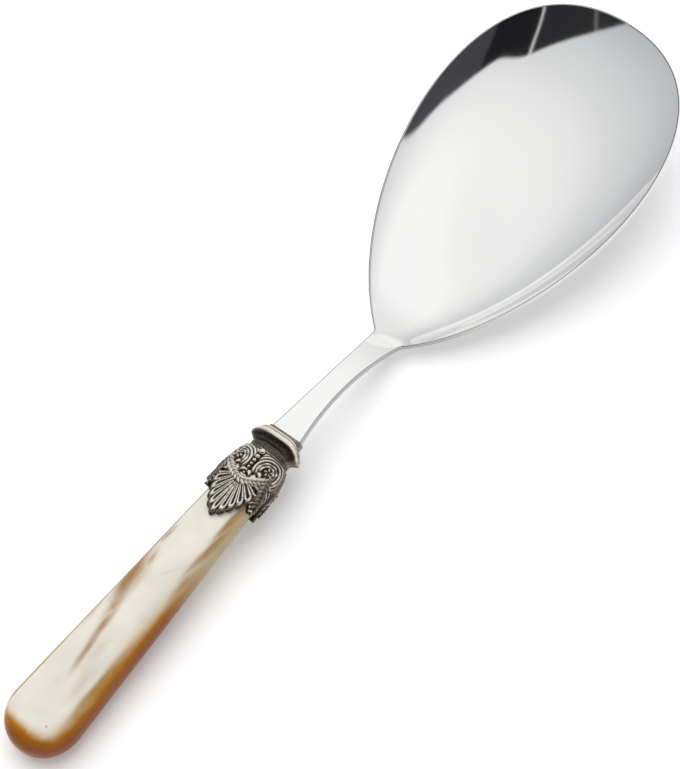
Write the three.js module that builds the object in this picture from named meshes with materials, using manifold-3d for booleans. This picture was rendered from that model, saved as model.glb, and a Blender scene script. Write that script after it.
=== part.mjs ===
// A rice serving spoon: a dished steel blade with a cranked neck, a cast ferrule with
// traditional relief ornament, and a moulded pearl handle cemented on the blade's tang.
// Millimetres, +Z up. The spoon is drawn on a bench frame whose origin is the centre of the
// ferrule's collar face: the bowl lies towards +X and the handle towards -X. At the end the
// whole spoon is tipped about Y until it rests on the handle's end and the bowl's underside.
import * as THREE from "three";
import { mergeVertices } from "three/addons/utils/BufferGeometryUtils.js";
import Module from "manifold-3d";

const wasm = await Module();
wasm.setup();

// Fits: every piece keeps this gap to the piece that holds it.
const CLEARANCE = 0.3;

// Blade: bowl
const BOWL_LENGTH = 113.4;
const SHOULDER_ANGLE = 51.9;
const SHOULDER_REACH = 48.1;
const TIP_REACH = 53.9;
const BOWL_DEPTH = 10;
const DEEPEST_AT = 50;
const DISH_POWER = 3.6;
const RIM_TILT = 8.2;
const RIM_ARCH = 1.0;
const BOWL_THICKNESS = 1.6;
const REST_FLAT_DEPTH = 0.2;

// Blade: neck and tang
const NECK_LENGTH = 42.6;
const NECK_COLLAR_WIDTH = 10.2;
const NECK_WAIST_WIDTH = 6.9;
const NECK_HEEL_WIDTH = 9.4;
const NECK_DROP = 10.06;
const NECK_START_SLOPE = 0.038;
const STRIP_THICKNESS = 2.0;
const SHOULDER_RAMP = 0.5;
const TANG_LENGTH = 50;
const TANG_WIDTH = 6.4;
const TANG_POINT = 3;
const NOTCH_COUNT = 3;
const NOTCH_LENGTH = 3;
const NOTCH_DEPTH = 0.8;
const NOTCH_RAMP = 0.6;

// Handle
const HANDLE_LENGTH = 102.5;
const HANDLE_END_WIDTH = 22.4;
const HANDLE_END_THICKNESS = 13.2;
const HANDLE_FRONT_WIDTH = 13.1;
const HANDLE_FRONT_THICKNESS = 7.7;
const HANDLE_END_ROUND = 12;
const HANDLE_SQUARENESS = 2.5;

// Ferrule
const BARREL_LENGTH = 19.5;
const SOCKET_DEPTH = 8;
const BARREL_WALL = 0.9;
const BELLY_BULGE = 0.5;
const LIP_LENGTH = 1.2;
const LIP_MARGIN = 0.8;
const COLLAR_LENGTH = 3.2;
const COLLAR_MARGIN = 2.3;
const COLLAR_HEIGHT = 8.0;
const COLLAR_CROWN = 0.5;
const COLLAR_SQUARENESS = 4;
const COVE_LENGTH = 1.8;
const COVE_DEPTH = 0.9;
const RING_LENGTH = 2.2;
const RING_WALL = 1.9;
const RING_CROWN = 0.35;
const OVALITY = 0.7;
const BARREL_SQUARENESS = 2.2;
const COLLAR_DEPTH = 5.2;
const CHAMBER_HEIGHT = 5.6;

// Ferrule ornament
const PALMETTE_LENGTH = 11.5;
const PALMETTE_LOBES = 11;
const PALMETTE_SPREAD = 82;
const PALMETTE_POINT = 1.35;
const PALMETTE_THICKNESS = 0.9;
const SCALLOP_DEPTH = 0.8;
const LOBE_HEIGHT = 0.5;
const LOBE_FILL = 0.8;
const LOBE_ROOT = 0.3;
const LOBE_TIP = 0.97;
const LOBE_WIDEST = 0.8;
const BEAD_COUNT = 7;
const FIRST_BEAD_RADIUS = 1.0;
const LAST_BEAD_RADIUS = 0.4;
const BEAD_CROWDING = 0.77;
const SCROLL_RADIUS = 3.1;
const SCROLL_EYE_RADIUS = 1.1;
const SCROLL_TURNS = 1.3;
const SCROLL_CORD = 0.5;
const SCROLL_SPREAD = 44;
const SWAG_CORD = 0.85;
const SWAG_SPREAD = 66;
const SWAG_DROP = 3.6;
const TAIL_LENGTH = 11;
const TAIL_WIDTH = 3.4;
const TAIL_THICKNESS = 1.8;

// Cement
const CEMENT_FILM = 0.7;
const CEMENT_SIDE = 1.0;

// Facets
const BOWL_ROWS = 26;
const NECK_ROWS = 9;
const SHEET_COLUMNS = 16;
const HANDLE_SIDES = 28;
const HANDLE_ROWS = 10;
const HANDLE_END_ROWS = 7;
const BARREL_SIDES = 36;
const RELIEF_SIDES = 8;
const RELIEF_RINGS = 6;
const SCROLL_STEPS = 20;
const SWAG_STEPS = 14;
const CORD_SEGMENTS = 3;
const BORE_SEGMENTS = 10;
const SCALLOP_SEGMENTS = 4;
const LIP_RINGS = 1;
const COLLAR_RINGS = 4;
const COVE_RINGS = 4;
const RING_RINGS = 4;
const BELLY_RINGS = 6;

// Places along X that several pieces share
const MOUTH_X = -BARREL_LENGTH;
const HANDLE_FRONT_X = MOUTH_X + SOCKET_DEPTH;
const HANDLE_END_X = HANDLE_FRONT_X - HANDLE_LENGTH;
const ROUND_X = HANDLE_END_X + HANDLE_END_ROUND;
const HEEL_X = NECK_LENGTH;
const TANG_END_X = -TANG_LENGTH;
const FAR = 400;

const degrees = THREE.MathUtils.degToRad;
const lerp = THREE.MathUtils.lerp;

// Turns a closed geometry into a solid that can be joined and cut.
function solidOf(geometry) {
  const bare = geometry.clone();
  for (const name of Object.keys(bare.attributes)) {
    if (name !== "position") bare.deleteAttribute(name);
  }
  const merged = mergeVertices(bare, 1e-4);
  const index = merged.index.array;
  const triVerts = [];
  for (let i = 0; i < index.length; i += 3) {
    const [a, b, c] = index.subarray(i, i + 3);
    if (a !== b && b !== c && c !== a) triVerts.push(a, b, c);
  }
  return new wasm.Manifold(new wasm.Mesh({
    numProp: 3,
    vertProperties: new Float32Array(merged.attributes.position.array),
    triVerts: new Uint32Array(triVerts),
  }));
}

function geometryOf(solid) {
  const mesh = solid.getMesh();
  const geometry = new THREE.BufferGeometry();
  geometry.setAttribute("position", new THREE.BufferAttribute(mesh.vertProperties, 3));
  geometry.setIndex(new THREE.BufferAttribute(mesh.triVerts, 1));
  geometry.computeVertexNormals();
  return geometry;
}

function joined(geometries) {
  return geometries.map(solidOf).reduce((sum, solid) => sum.add(solid));
}

// A closed loft through rings of points. Each ring runs anticlockwise seen from +X and the
// rings follow each other towards +X. The two ends are closed by flat fans.
function loft(rings) {
  const sides = rings[0].length;
  const points = rings.flat();
  const index = [];
  for (let r = 0; r + 1 < rings.length; r++) {
    for (let i = 0; i < sides; i++) {
      const a = r * sides + i;
      const b = r * sides + ((i + 1) % sides);
      index.push(a, b, b + sides, a, b + sides, a + sides);
    }
  }
  const middle = (ring) => ring.reduce((sum, p) => sum.add(p), new THREE.Vector3()).divideScalar(sides);
  const first = points.push(middle(rings[0])) - 1;
  const last = points.push(middle(rings[rings.length - 1])) - 1;
  const lastRing = (rings.length - 1) * sides;
  for (let i = 0; i < sides; i++) {
    const next = (i + 1) % sides;
    index.push(first, next, i);
    index.push(last, lastRing + i, lastRing + next);
  }
  const geometry = new THREE.BufferGeometry().setFromPoints(points);
  geometry.setIndex(index);
  return geometry;
}

// A ring of points on a squared-off oval across X.
function ovalRing(x, halfWidth, halfHeight, squareness, sides) {
  const bend = (value) => Math.sign(value) * Math.abs(value) ** (2 / squareness);
  return Array.from({ length: sides }, (_, i) => {
    const turn = (2 * Math.PI * i) / sides;
    return new THREE.Vector3(x, halfWidth * bend(Math.cos(turn)), halfHeight * bend(Math.sin(turn)));
  });
}

// A straight prism along X with round sides, such as a drilled and slotted bore.
function slotPrism(halfWidth, halfHeight, startX, endX) {
  const straight = Math.max(halfWidth - halfHeight, 0);
  const outline = new THREE.Shape();
  outline.absarc(straight, 0, halfHeight, -Math.PI / 2, Math.PI / 2);
  outline.absarc(-straight, 0, halfHeight, Math.PI / 2, 1.5 * Math.PI);
  const prism = new THREE.ExtrudeGeometry(outline, {
    depth: endX - startX, bevelEnabled: false, curveSegments: BORE_SEGMENTS,
  });
  const alongX = new THREE.Matrix4().makeBasis(
    new THREE.Vector3(0, 1, 0), new THREE.Vector3(0, 0, 1), new THREE.Vector3(1, 0, 0));
  return prism.applyMatrix4(alongX).translate(startX, 0, 0);
}

// The tang's own flat hole, cut with its clearance.
function tangHole(startX, endX) {
  const width = TANG_WIDTH + 2 * CLEARANCE;
  const height = STRIP_THICKNESS + 2 * CLEARANCE;
  return new THREE.BoxGeometry(endX - startX, width, height).translate((startX + endX) / 2, 0, 0);
}

// Blade

const rimSlope = Math.tan(degrees(RIM_TILT));
const heelZ = STRIP_THICKNESS / 2 - NECK_DROP;
const heelSlope = rimSlope + (4 * RIM_ARCH) / BOWL_LENGTH - (BOWL_DEPTH * DISH_POWER) / DEEPEST_AT;

// Half of the bowl's egg outline, from the heel's corner round to the tip.
const halfOutline = new THREE.CubicBezierCurve(
  new THREE.Vector2(0, NECK_HEEL_WIDTH / 2),
  new THREE.Vector2(
    SHOULDER_REACH * Math.cos(degrees(SHOULDER_ANGLE)),
    NECK_HEEL_WIDTH / 2 + SHOULDER_REACH * Math.sin(degrees(SHOULDER_ANGLE))),
  new THREE.Vector2(BOWL_LENGTH, TIP_REACH),
  new THREE.Vector2(BOWL_LENGTH, 0));

const widestHalf = Math.max(...halfOutline.getPoints(BOWL_ROWS).map((point) => point.y));

// Distance from the deepest point as a share of the way to the rim, 0 to 1.
function rimShare(x, across) {
  const reach = x < DEEPEST_AT ? DEEPEST_AT : BOWL_LENGTH - DEEPEST_AT;
  const along = (x - DEEPEST_AT) / reach;
  return Math.sqrt(along ** 2 + (1 - along ** 2) * across ** 2);
}

// Upper face of the bowl at x from the heel; across runs from -1 to 1 between the rims.
function bowlTop(x, across) {
  const share = x / BOWL_LENGTH;
  const rim = heelZ + rimSlope * x + 4 * RIM_ARCH * share * (1 - share);
  return rim - BOWL_DEPTH * (1 - rimShare(x, across) ** DISH_POWER);
}

// Upright thickness of the bowl's sheet, which stays even measured square to the wall.
function bowlThickness(x, across) {
  const wallSlope = ((BOWL_DEPTH * DISH_POWER) / widestHalf) * rimShare(x, across) ** (DISH_POWER - 1);
  return BOWL_THICKNESS * Math.hypot(1, wallSlope);
}

// The neck's upper face falls from the collar to the heel on one smooth cubic.
function neckTop(x) {
  const t = x / NECK_LENGTH;
  const collarPart = 2 * t ** 3 - 3 * t ** 2 + 1;
  const collarSlopePart = (t ** 3 - 2 * t ** 2 + t) * NECK_LENGTH;
  const heelSlopePart = (t ** 3 - t ** 2) * NECK_LENGTH;
  return (collarPart * STRIP_THICKNESS) / 2 + collarSlopePart * NECK_START_SLOPE
    + (1 - collarPart) * heelZ + heelSlopePart * heelSlope;
}

function neckHalfWidth(x) {
  const t = x / NECK_LENGTH;
  const width = NECK_COLLAR_WIDTH * (1 - t) * (1 - 2 * t) + 4 * NECK_WAIST_WIDTH * t * (1 - t)
    + NECK_HEEL_WIDTH * t * (2 * t - 1);
  return width / 2;
}

// Stations of the blade from the tang's point to the bowl's tip. Each gives its half-width
// and the upper face and thickness at a share across.
function bladeStations() {
  const flat = (x, half) => ({ x, half, top: () => STRIP_THICKNESS / 2, thick: () => STRIP_THICKNESS });
  const tangHalf = TANG_WIDTH / 2;
  const stations = [flat(TANG_END_X, tangHalf / 2), flat(TANG_END_X + TANG_POINT, tangHalf)];
  const notchStep = (TANG_LENGTH - COLLAR_DEPTH - TANG_POINT) / (NOTCH_COUNT + 1);
  for (let k = 1; k <= NOTCH_COUNT; k++) {
    const middle = TANG_END_X + TANG_POINT + notchStep * k;
    const inner = NOTCH_LENGTH / 2;
    const outer = inner + NOTCH_RAMP;
    stations.push(flat(middle - outer, tangHalf), flat(middle - inner, tangHalf - NOTCH_DEPTH));
    stations.push(flat(middle + inner, tangHalf - NOTCH_DEPTH), flat(middle + outer, tangHalf));
  }
  stations.push(flat(CLEARANCE, tangHalf));
  const shoulderX = CLEARANCE + SHOULDER_RAMP;
  for (let r = 0; r < NECK_ROWS; r++) {
    const x = lerp(shoulderX, NECK_LENGTH, r / NECK_ROWS);
    const thick = lerp(STRIP_THICKNESS, BOWL_THICKNESS * Math.hypot(1, heelSlope), (x / NECK_LENGTH) ** 2);
    stations.push({ x, half: neckHalfWidth(x), top: () => neckTop(x), thick: () => thick });
  }
  for (let r = 0; r <= BOWL_ROWS; r++) {
    const point = halfOutline.getPoint(r / BOWL_ROWS);
    stations.push({
      x: HEEL_X + point.x,
      half: r === BOWL_ROWS ? 0 : point.y,
      top: (across) => bowlTop(point.x, across),
      thick: (across) => bowlThickness(point.x, across),
    });
  }
  return stations;
}

// One stamped sheet: an upper and a lower grid of the same plan, closed along the edges.
function bladeSheet() {
  const stations = bladeStations();
  const columns = SHEET_COLUMNS + 1;
  const points = [];
  for (const face of [0, 1]) {
    for (const { x, half, top, thick } of stations) {
      for (let c = 0; c < columns; c++) {
        const across = Math.sin((Math.PI / 2) * ((2 * c) / SHEET_COLUMNS - 1));
        const rimSide = half === 0 ? 1 : across;
        const z = top(rimSide) - face * thick(rimSide);
        points.push(new THREE.Vector3(x, half * across, z));
      }
    }
  }
  const lower = stations.length * columns;
  const index = [];
  const quad = (a, b, c, d) => index.push(a, b, c, a, c, d);
  for (let r = 0; r + 1 < stations.length; r++) {
    for (let c = 0; c < SHEET_COLUMNS; c++) {
      const a = r * columns + c;
      quad(a, a + columns, a + columns + 1, a + 1);
      quad(lower + a, lower + a + 1, lower + a + columns + 1, lower + a + columns);
    }
    const right = r * columns;
    const left = right + SHEET_COLUMNS;
    quad(right, lower + right, lower + right + columns, right + columns);
    quad(left, left + columns, lower + left + columns, lower + left);
  }
  for (let c = 0; c < SHEET_COLUMNS; c++) quad(c, c + 1, lower + c + 1, lower + c);
  const geometry = new THREE.BufferGeometry().setFromPoints(points);
  geometry.setIndex(index);
  return geometry;
}

// Handle

function handleShare(x) {
  return (Math.max(x, ROUND_X) - ROUND_X) / (HANDLE_FRONT_X - ROUND_X);
}

function handleHalfWidth(x) {
  const back = Math.min(Math.max((ROUND_X - x) / HANDLE_END_ROUND, 0), 1);
  const width = lerp(HANDLE_END_WIDTH, HANDLE_FRONT_WIDTH, handleShare(x));
  return (width / 2) * Math.sqrt(1 - back ** 2);
}

function handleHalfThickness(x) {
  const back = Math.min(Math.max((ROUND_X - x) / HANDLE_END_ROUND, 0), 1);
  const thickness = lerp(HANDLE_END_THICKNESS, HANDLE_FRONT_THICKNESS, handleShare(x));
  return (thickness / 2) * Math.sqrt(1 - back ** 4);
}

// The handle's outside, grown by a gap, between two places along X.
function handleSkin(gap, stations) {
  return loft(stations.map((x) => ovalRing(
    x, handleHalfWidth(x) + gap, handleHalfThickness(x) + gap, HANDLE_SQUARENESS, HANDLE_SIDES)));
}

function handleBody() {
  const stations = [];
  for (let r = 0; r <= HANDLE_END_ROWS; r++) {
    const turn = (Math.PI / 2) * ((r + 0.25) / (HANDLE_END_ROWS + 0.25));
    stations.push(ROUND_X - HANDLE_END_ROUND * Math.cos(turn));
  }
  for (let r = 1; r <= HANDLE_ROWS; r++) stations.push(lerp(ROUND_X, HANDLE_FRONT_X, r / HANDLE_ROWS));
  return handleSkin(0, stations);
}

// Cement between the tang and its bore in the handle, and the bore itself.
const cementHalfWidth = TANG_WIDTH / 2 + CLEARANCE + CEMENT_SIDE;
const cementHalfHeight = STRIP_THICKNESS / 2 + CLEARANCE + CEMENT_FILM;
const cementEndX = TANG_END_X - CLEARANCE - CEMENT_FILM;

function handleSolid() {
  const bore = slotPrism(
    cementHalfWidth + CLEARANCE, cementHalfHeight + CLEARANCE, cementEndX - CLEARANCE, HANDLE_FRONT_X + 1);
  return solidOf(handleBody()).subtract(solidOf(bore));
}

function tangCement() {
  const sleeve = slotPrism(cementHalfWidth, cementHalfHeight, cementEndX, HANDLE_FRONT_X);
  return solidOf(sleeve).subtract(solidOf(tangHole(TANG_END_X - CLEARANCE, HANDLE_FRONT_X + 1)));
}

// Ferrule

const chamberHalfWidth = cementHalfWidth + CLEARANCE;
const chamberHalfHeight = CHAMBER_HEIGHT / 2;

function ferruleCement() {
  const plug = slotPrism(
    chamberHalfWidth - CLEARANCE, chamberHalfHeight - CLEARANCE,
    HANDLE_FRONT_X + CLEARANCE, -COLLAR_DEPTH - CLEARANCE);
  return solidOf(plug).subtract(solidOf(tangHole(HANDLE_FRONT_X, -COLLAR_DEPTH)));
}

// Places down from the ferrule's front where the lip, collar, cove, ring and belly begin.
const collarStart = LIP_LENGTH;
const coveStart = collarStart + COLLAR_LENGTH;
const ringStart = coveStart + COVE_LENGTH;
const bellyStart = ringStart + RING_LENGTH;
const lipHalfWidth = NECK_COLLAR_WIDTH / 2 + LIP_MARGIN;
const lipHalfHeight = STRIP_THICKNESS / 2 + LIP_MARGIN;
const collarHalfWidth = NECK_COLLAR_WIDTH / 2 + COLLAR_MARGIN;
const collarHalfHeight = COLLAR_HEIGHT / 2;
const ringHalfWidth = chamberHalfWidth + RING_WALL;
const ringHalfHeight = ringHalfWidth * OVALITY;
const mouthHalfWidth = handleHalfWidth(MOUTH_X) + CLEARANCE + BARREL_WALL;
const mouthHalfHeight = handleHalfThickness(MOUTH_X) + CLEARANCE + BARREL_WALL;

// The barrel's half-width, half-height and squareness at a distance down from its front.
function barrelSection(down) {
  if (down <= collarStart) {
    return { width: lipHalfWidth, height: lipHalfHeight, squareness: COLLAR_SQUARENESS };
  }
  if (down <= coveStart) {
    const t = (down - collarStart) / COLLAR_LENGTH;
    const crown = COLLAR_CROWN * (2 * t - 1) ** 4;
    return {
      width: collarHalfWidth - crown, height: collarHalfHeight - crown, squareness: COLLAR_SQUARENESS,
    };
  }
  if (down < ringStart) {
    const t = (down - coveStart) / COVE_LENGTH;
    const hollow = COVE_DEPTH * Math.sqrt(Math.sin(Math.PI * t));
    return {
      width: lerp(collarHalfWidth - COLLAR_CROWN, ringHalfWidth, t) - hollow,
      height: lerp(collarHalfHeight - COLLAR_CROWN, ringHalfHeight, t) - hollow,
      squareness: lerp(COLLAR_SQUARENESS, BARREL_SQUARENESS, t),
    };
  }
  if (down <= bellyStart) {
    const t = (down - ringStart) / RING_LENGTH;
    const crown = RING_CROWN * Math.sin(Math.PI * t);
    return { width: ringHalfWidth + crown, height: ringHalfHeight + crown, squareness: BARREL_SQUARENESS };
  }
  const t = (down - bellyStart) / (BARREL_LENGTH - bellyStart);
  const swell = BELLY_BULGE * Math.sin(Math.PI * t);
  const ease = Math.sin((Math.PI / 2) * t);
  return {
    width: lerp(ringHalfWidth, mouthHalfWidth, ease) + swell,
    height: lerp(ringHalfHeight, mouthHalfHeight, ease) + swell,
    squareness: BARREL_SQUARENESS,
  };
}

function barrel() {
  const zones = [
    [0, collarStart, LIP_RINGS],
    [collarStart + CLEARANCE / 2, coveStart, COLLAR_RINGS],
    [coveStart, ringStart, COVE_RINGS],
    [ringStart, bellyStart, RING_RINGS],
    [bellyStart, BARREL_LENGTH, BELLY_RINGS],
  ];
  const downs = [];
  for (const [from, to, count] of zones) {
    for (let i = 0; i <= count; i++) {
      const down = lerp(from, to, i / count);
      if (downs.at(-1) !== down) downs.push(down);
    }
  }
  const rings = downs.reverse().map((down) => {
    const { width, height, squareness } = barrelSection(down);
    return ovalRing(-down, width, height, squareness, BARREL_SIDES);
  });
  return loft(rings);
}

// A point on the barrel, turn degrees from its top (face 1) or its underside (face -1).
function onBarrel(down, turn, face) {
  const { width, height } = barrelSection(Math.min(down, BARREL_LENGTH));
  const angle = degrees(turn);
  return new THREE.Vector3(-down, width * Math.sin(angle), face * height * Math.cos(angle));
}

// A point on the handle's upper (face 1) or lower (face -1) side, lifted off by a height.
function onHandle(x, y, lift, face) {
  const halfWidth = handleHalfWidth(x) + lift;
  const halfThickness = handleHalfThickness(x) + lift;
  const side = Math.min(Math.abs(y) / halfWidth, 1);
  const z = halfThickness * (1 - side ** HANDLE_SQUARENESS) ** (1 / HANDLE_SQUARENESS);
  return new THREE.Vector3(x, y, face * z);
}

// A round cord along a path of points.
function cord(points, radius, steps) {
  const section = new THREE.Shape().absarc(0, 0, radius, 0, 2 * Math.PI);
  return new THREE.ExtrudeGeometry(section, {
    extrudePath: new THREE.CatmullRomCurve3(points), steps, curveSegments: CORD_SEGMENTS, bevelEnabled: false,
  });
}

// A raised oval between two points, standing off the surface along up.
function ridge(start, end, halfWidth, halfHeight, up) {
  const along = end.clone().sub(start);
  const half = along.length() / 2;
  along.normalize();
  const side = up.clone().cross(along).normalize();
  const rise = along.clone().cross(side);
  const place = new THREE.Matrix4().makeBasis(
    along.multiplyScalar(half), side.multiplyScalar(halfWidth), rise.multiplyScalar(halfHeight));
  place.setPosition(start.clone().add(end).divideScalar(2));
  return new THREE.SphereGeometry(1, RELIEF_SIDES, RELIEF_RINGS).applyMatrix4(place);
}

// A place on the pointed palmette in plan, at a turn from the handle's axis.
function palmettePoint(turn, share) {
  const along = Math.cos(degrees(turn));
  const across = Math.sin(degrees(turn));
  const sideReach = handleHalfWidth(MOUTH_X) + CLEARANCE + PALMETTE_THICKNESS;
  const spread = (along ** PALMETTE_POINT + Math.abs(across) ** PALMETTE_POINT) ** (1 / PALMETTE_POINT);
  const reach = share / spread;
  return new THREE.Vector2(MOUTH_X - reach * PALMETTE_LENGTH * along, reach * sideReach * across);
}

// The leaf: a scalloped fan laid over the handle as a shell of even thickness.
function palmetteLeaf(face) {
  const step = (2 * PALMETTE_SPREAD) / PALMETTE_LOBES;
  const valley = 1 - SCALLOP_DEPTH / PALMETTE_LENGTH;
  const crest = 1 + SCALLOP_DEPTH / PALMETTE_LENGTH;
  const outline = new THREE.Shape();
  const rootX = MOUTH_X + SOCKET_DEPTH / 4;
  const start = palmettePoint(-PALMETTE_SPREAD, valley);
  const end = palmettePoint(PALMETTE_SPREAD, valley);
  outline.moveTo(rootX, end.y);
  outline.lineTo(end.x, end.y);
  for (let k = PALMETTE_LOBES - 1; k >= 0; k--) {
    const middle = -PALMETTE_SPREAD + step * (k + 0.5);
    const control = palmettePoint(middle, crest);
    const next = palmettePoint(middle - step / 2, valley);
    outline.quadraticCurveTo(control.x, control.y, next.x, next.y);
  }
  outline.lineTo(rootX, start.y);
  const prism = new THREE.ExtrudeGeometry(outline, {
    depth: FAR, bevelEnabled: false, curveSegments: SCALLOP_SEGMENTS,
  });
  if (face < 0) prism.translate(0, 0, -FAR);
  const tipX = MOUTH_X - 1.5 * PALMETTE_LENGTH;
  const skin = handleSkin(CLEARANCE + PALMETTE_THICKNESS, [tipX, MOUTH_X, HANDLE_FRONT_X]);
  return solidOf(skin).intersect(solidOf(prism));
}

function palmetteLobes(face) {
  const step = (2 * PALMETTE_SPREAD) / PALMETTE_LOBES;
  const lift = CLEARANCE + PALMETTE_THICKNESS;
  return Array.from({ length: PALMETTE_LOBES }, (_, k) => {
    const turn = -PALMETTE_SPREAD + step * (k + 0.5);
    const inner = palmettePoint(turn, LOBE_ROOT);
    const outer = palmettePoint(turn, LOBE_TIP);
    const beside = palmettePoint(turn + step / 2, LOBE_WIDEST);
    const crest = palmettePoint(turn, LOBE_WIDEST);
    const start = onHandle(inner.x, inner.y, lift, face);
    const end = onHandle(outer.x, outer.y, lift, face);
    const lower = onHandle(crest.x, crest.y, 0, face);
    const up = onHandle(crest.x, crest.y, lift, face).sub(lower);
    return ridge(start, end, LOBE_FILL * crest.distanceTo(beside), LOBE_HEIGHT, up);
  });
}

// Two scrolls that curl away from the middle of one face.
function scrolls(face) {
  const eyeDown = (bellyStart + BARREL_LENGTH) / 2 + SCROLL_CORD;
  const halfWidth = barrelSection(eyeDown).width;
  return [-1, 1].map((side) => {
    const points = Array.from({ length: SCROLL_STEPS + 1 }, (_, i) => {
      const share = i / SCROLL_STEPS;
      const angle = 2 * Math.PI * SCROLL_TURNS * share;
      const radius = lerp(SCROLL_RADIUS, SCROLL_EYE_RADIUS, share);
      const turn = SCROLL_SPREAD - THREE.MathUtils.radToDeg((radius * Math.cos(angle)) / halfWidth);
      return onBarrel(eyeDown - radius * Math.sin(angle), side * turn, face);
    });
    return cord(points, SCROLL_CORD, SCROLL_STEPS);
  });
}

// A row of beads down the middle of one face, each smaller than the last.
function beads(face) {
  const lastDown = BARREL_LENGTH - SWAG_CORD;
  const firstDown = bellyStart + FIRST_BEAD_RADIUS;
  return Array.from({ length: BEAD_COUNT }, (_, i) => {
    const share = i / (BEAD_COUNT - 1);
    const place = onBarrel(lerp(firstDown, lastDown - 2 * SWAG_CORD, share ** BEAD_CROWDING), 0, face);
    const radius = lerp(FIRST_BEAD_RADIUS, LAST_BEAD_RADIUS, share);
    return new THREE.SphereGeometry(radius, RELIEF_SIDES, RELIEF_RINGS).translate(place.x, place.y, place.z);
  });
}

// A rope hung across one face between the scrolls, lowest over the palmette's root.
function swag(face) {
  const points = Array.from({ length: SWAG_STEPS + 1 }, (_, i) => {
    const share = (2 * i) / SWAG_STEPS - 1;
    return onBarrel(BARREL_LENGTH - SWAG_DROP * share ** 2, SWAG_SPREAD * share, face);
  });
  return cord(points, SWAG_CORD, SWAG_STEPS);
}

// Ribbon tails at both sides, from the barrel back along the handle's edges.
function tails() {
  return [-1, 1].map((side) => {
    const startX = MOUTH_X + TAIL_LENGTH / 3;
    const endX = startX - TAIL_LENGTH;
    const lift = CLEARANCE + TAIL_THICKNESS / 4;
    const start = new THREE.Vector3(startX, side * (handleHalfWidth(startX) + lift), 0);
    const end = new THREE.Vector3(endX, side * (handleHalfWidth(endX) + lift), 0);
    const out = new THREE.Vector3(0, side, 0);
    return ridge(start, end, TAIL_WIDTH / 2, TAIL_THICKNESS / 2, out);
  });
}

function ferruleSolid() {
  const raised = [barrel(), ...tails()];
  for (const face of [1, -1]) {
    raised.push(...palmetteLobes(face), ...scrolls(face), ...beads(face), swag(face));
  }
  let casting = joined(raised);
  for (const face of [1, -1]) casting = casting.add(palmetteLeaf(face));
  const tipX = MOUTH_X - 2 * PALMETTE_LENGTH;
  const socket = handleSkin(CLEARANCE, [tipX, MOUTH_X, HANDLE_FRONT_X, HANDLE_FRONT_X + CLEARANCE]);
  const chamber = slotPrism(chamberHalfWidth, chamberHalfHeight, HANDLE_FRONT_X, -COLLAR_DEPTH);
  const slot = tangHole(-COLLAR_DEPTH - 1, 1);
  return casting.subtract(solidOf(socket)).subtract(solidOf(chamber)).subtract(solidOf(slot));
}

// Rest

// Lowest height over a solid's points once the bench frame is tipped by an angle.
function lowest(geometry, tip) {
  const points = geometry.attributes.position;
  let low = Infinity;
  for (let i = 0; i < points.count; i++) {
    low = Math.min(low, points.getZ(i) * Math.cos(tip) + points.getX(i) * Math.sin(tip));
  }
  return low;
}

// The tip at which the handle's end and the bowl's rest flat lie on one level.
function restTip(blade, handle) {
  let low = degrees(-20);
  let high = degrees(20);
  for (let i = 0; i < 50; i++) {
    const middle = (low + high) / 2;
    const bowlIsLower = lowest(blade, middle) + REST_FLAT_DEPTH < lowest(handle, middle);
    if (bowlIsLower) low = middle;
    else high = middle;
  }
  return (low + high) / 2;
}

const sheet = bladeSheet();
const handleSolidBody = handleSolid();
const handleGeometry = geometryOf(handleSolidBody);
const tip = restTip(sheet, handleGeometry);
const tableLevel = lowest(handleGeometry, tip);

// The bowl's underside is flat where it meets the table.
function bladeSolid() {
  const table = new THREE.BoxGeometry(FAR, FAR, FAR).translate(0, 0, tableLevel - FAR / 2);
  table.rotateY(tip);
  return solidOf(sheet).subtract(solidOf(table));
}

const STEEL = { color: 0xd7d9db, roughness: 0.12, metalness: 1 };
const PEWTER = { color: 0x8e8a83, roughness: 0.38, metalness: 1 };
const PEARL = { color: 0xece5da, roughness: 0.22, metalness: 0 };
const RESIN = { color: 0xcbbf9f, roughness: 0.6, metalness: 0 };

function piece(name, geometry, look) {
  const mesh = new THREE.Mesh(geometry, new THREE.MeshStandardMaterial(look));
  mesh.name = name;
  return mesh;
}

const spoon = new THREE.Group();
spoon.add(piece("spoon_blade", geometryOf(bladeSolid()), STEEL));
spoon.add(piece("ferrule", geometryOf(ferruleSolid()), PEWTER));
spoon.add(piece("handle", handleGeometry, PEARL));
spoon.add(piece("tang_cement", geometryOf(tangCement()), RESIN));
spoon.add(piece("ferrule_cement", geometryOf(ferruleCement()), RESIN));

// The origin is under the middle of the spoon, on the surface that it lies on.
spoon.rotation.y = -tip;
spoon.updateMatrixWorld(true);
const extent = new THREE.Box3().setFromObject(spoon, true);
spoon.position.set(-(extent.min.x + extent.max.x) / 2, 0, -extent.min.z);
spoon.updateMatrixWorld(true);

export default spoon;
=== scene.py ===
"""Looks of a rice serving spoon: mirror-polished steel blade, antiqued pewter ferrule, pearl handle.

The pieces are drawn in millimetres on a bench frame whose origin is the centre of the ferrule's
collar face, with the bowl towards +X and the handle towards -X, and are then laid at rest in the
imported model's frame, in metres.
"""

import logging
import math
from dataclasses import dataclass
from enum import Enum
from typing import Any, Optional, Sequence

import bmesh
import bpy
import numpy as np
from mathutils import Matrix, Vector


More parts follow.
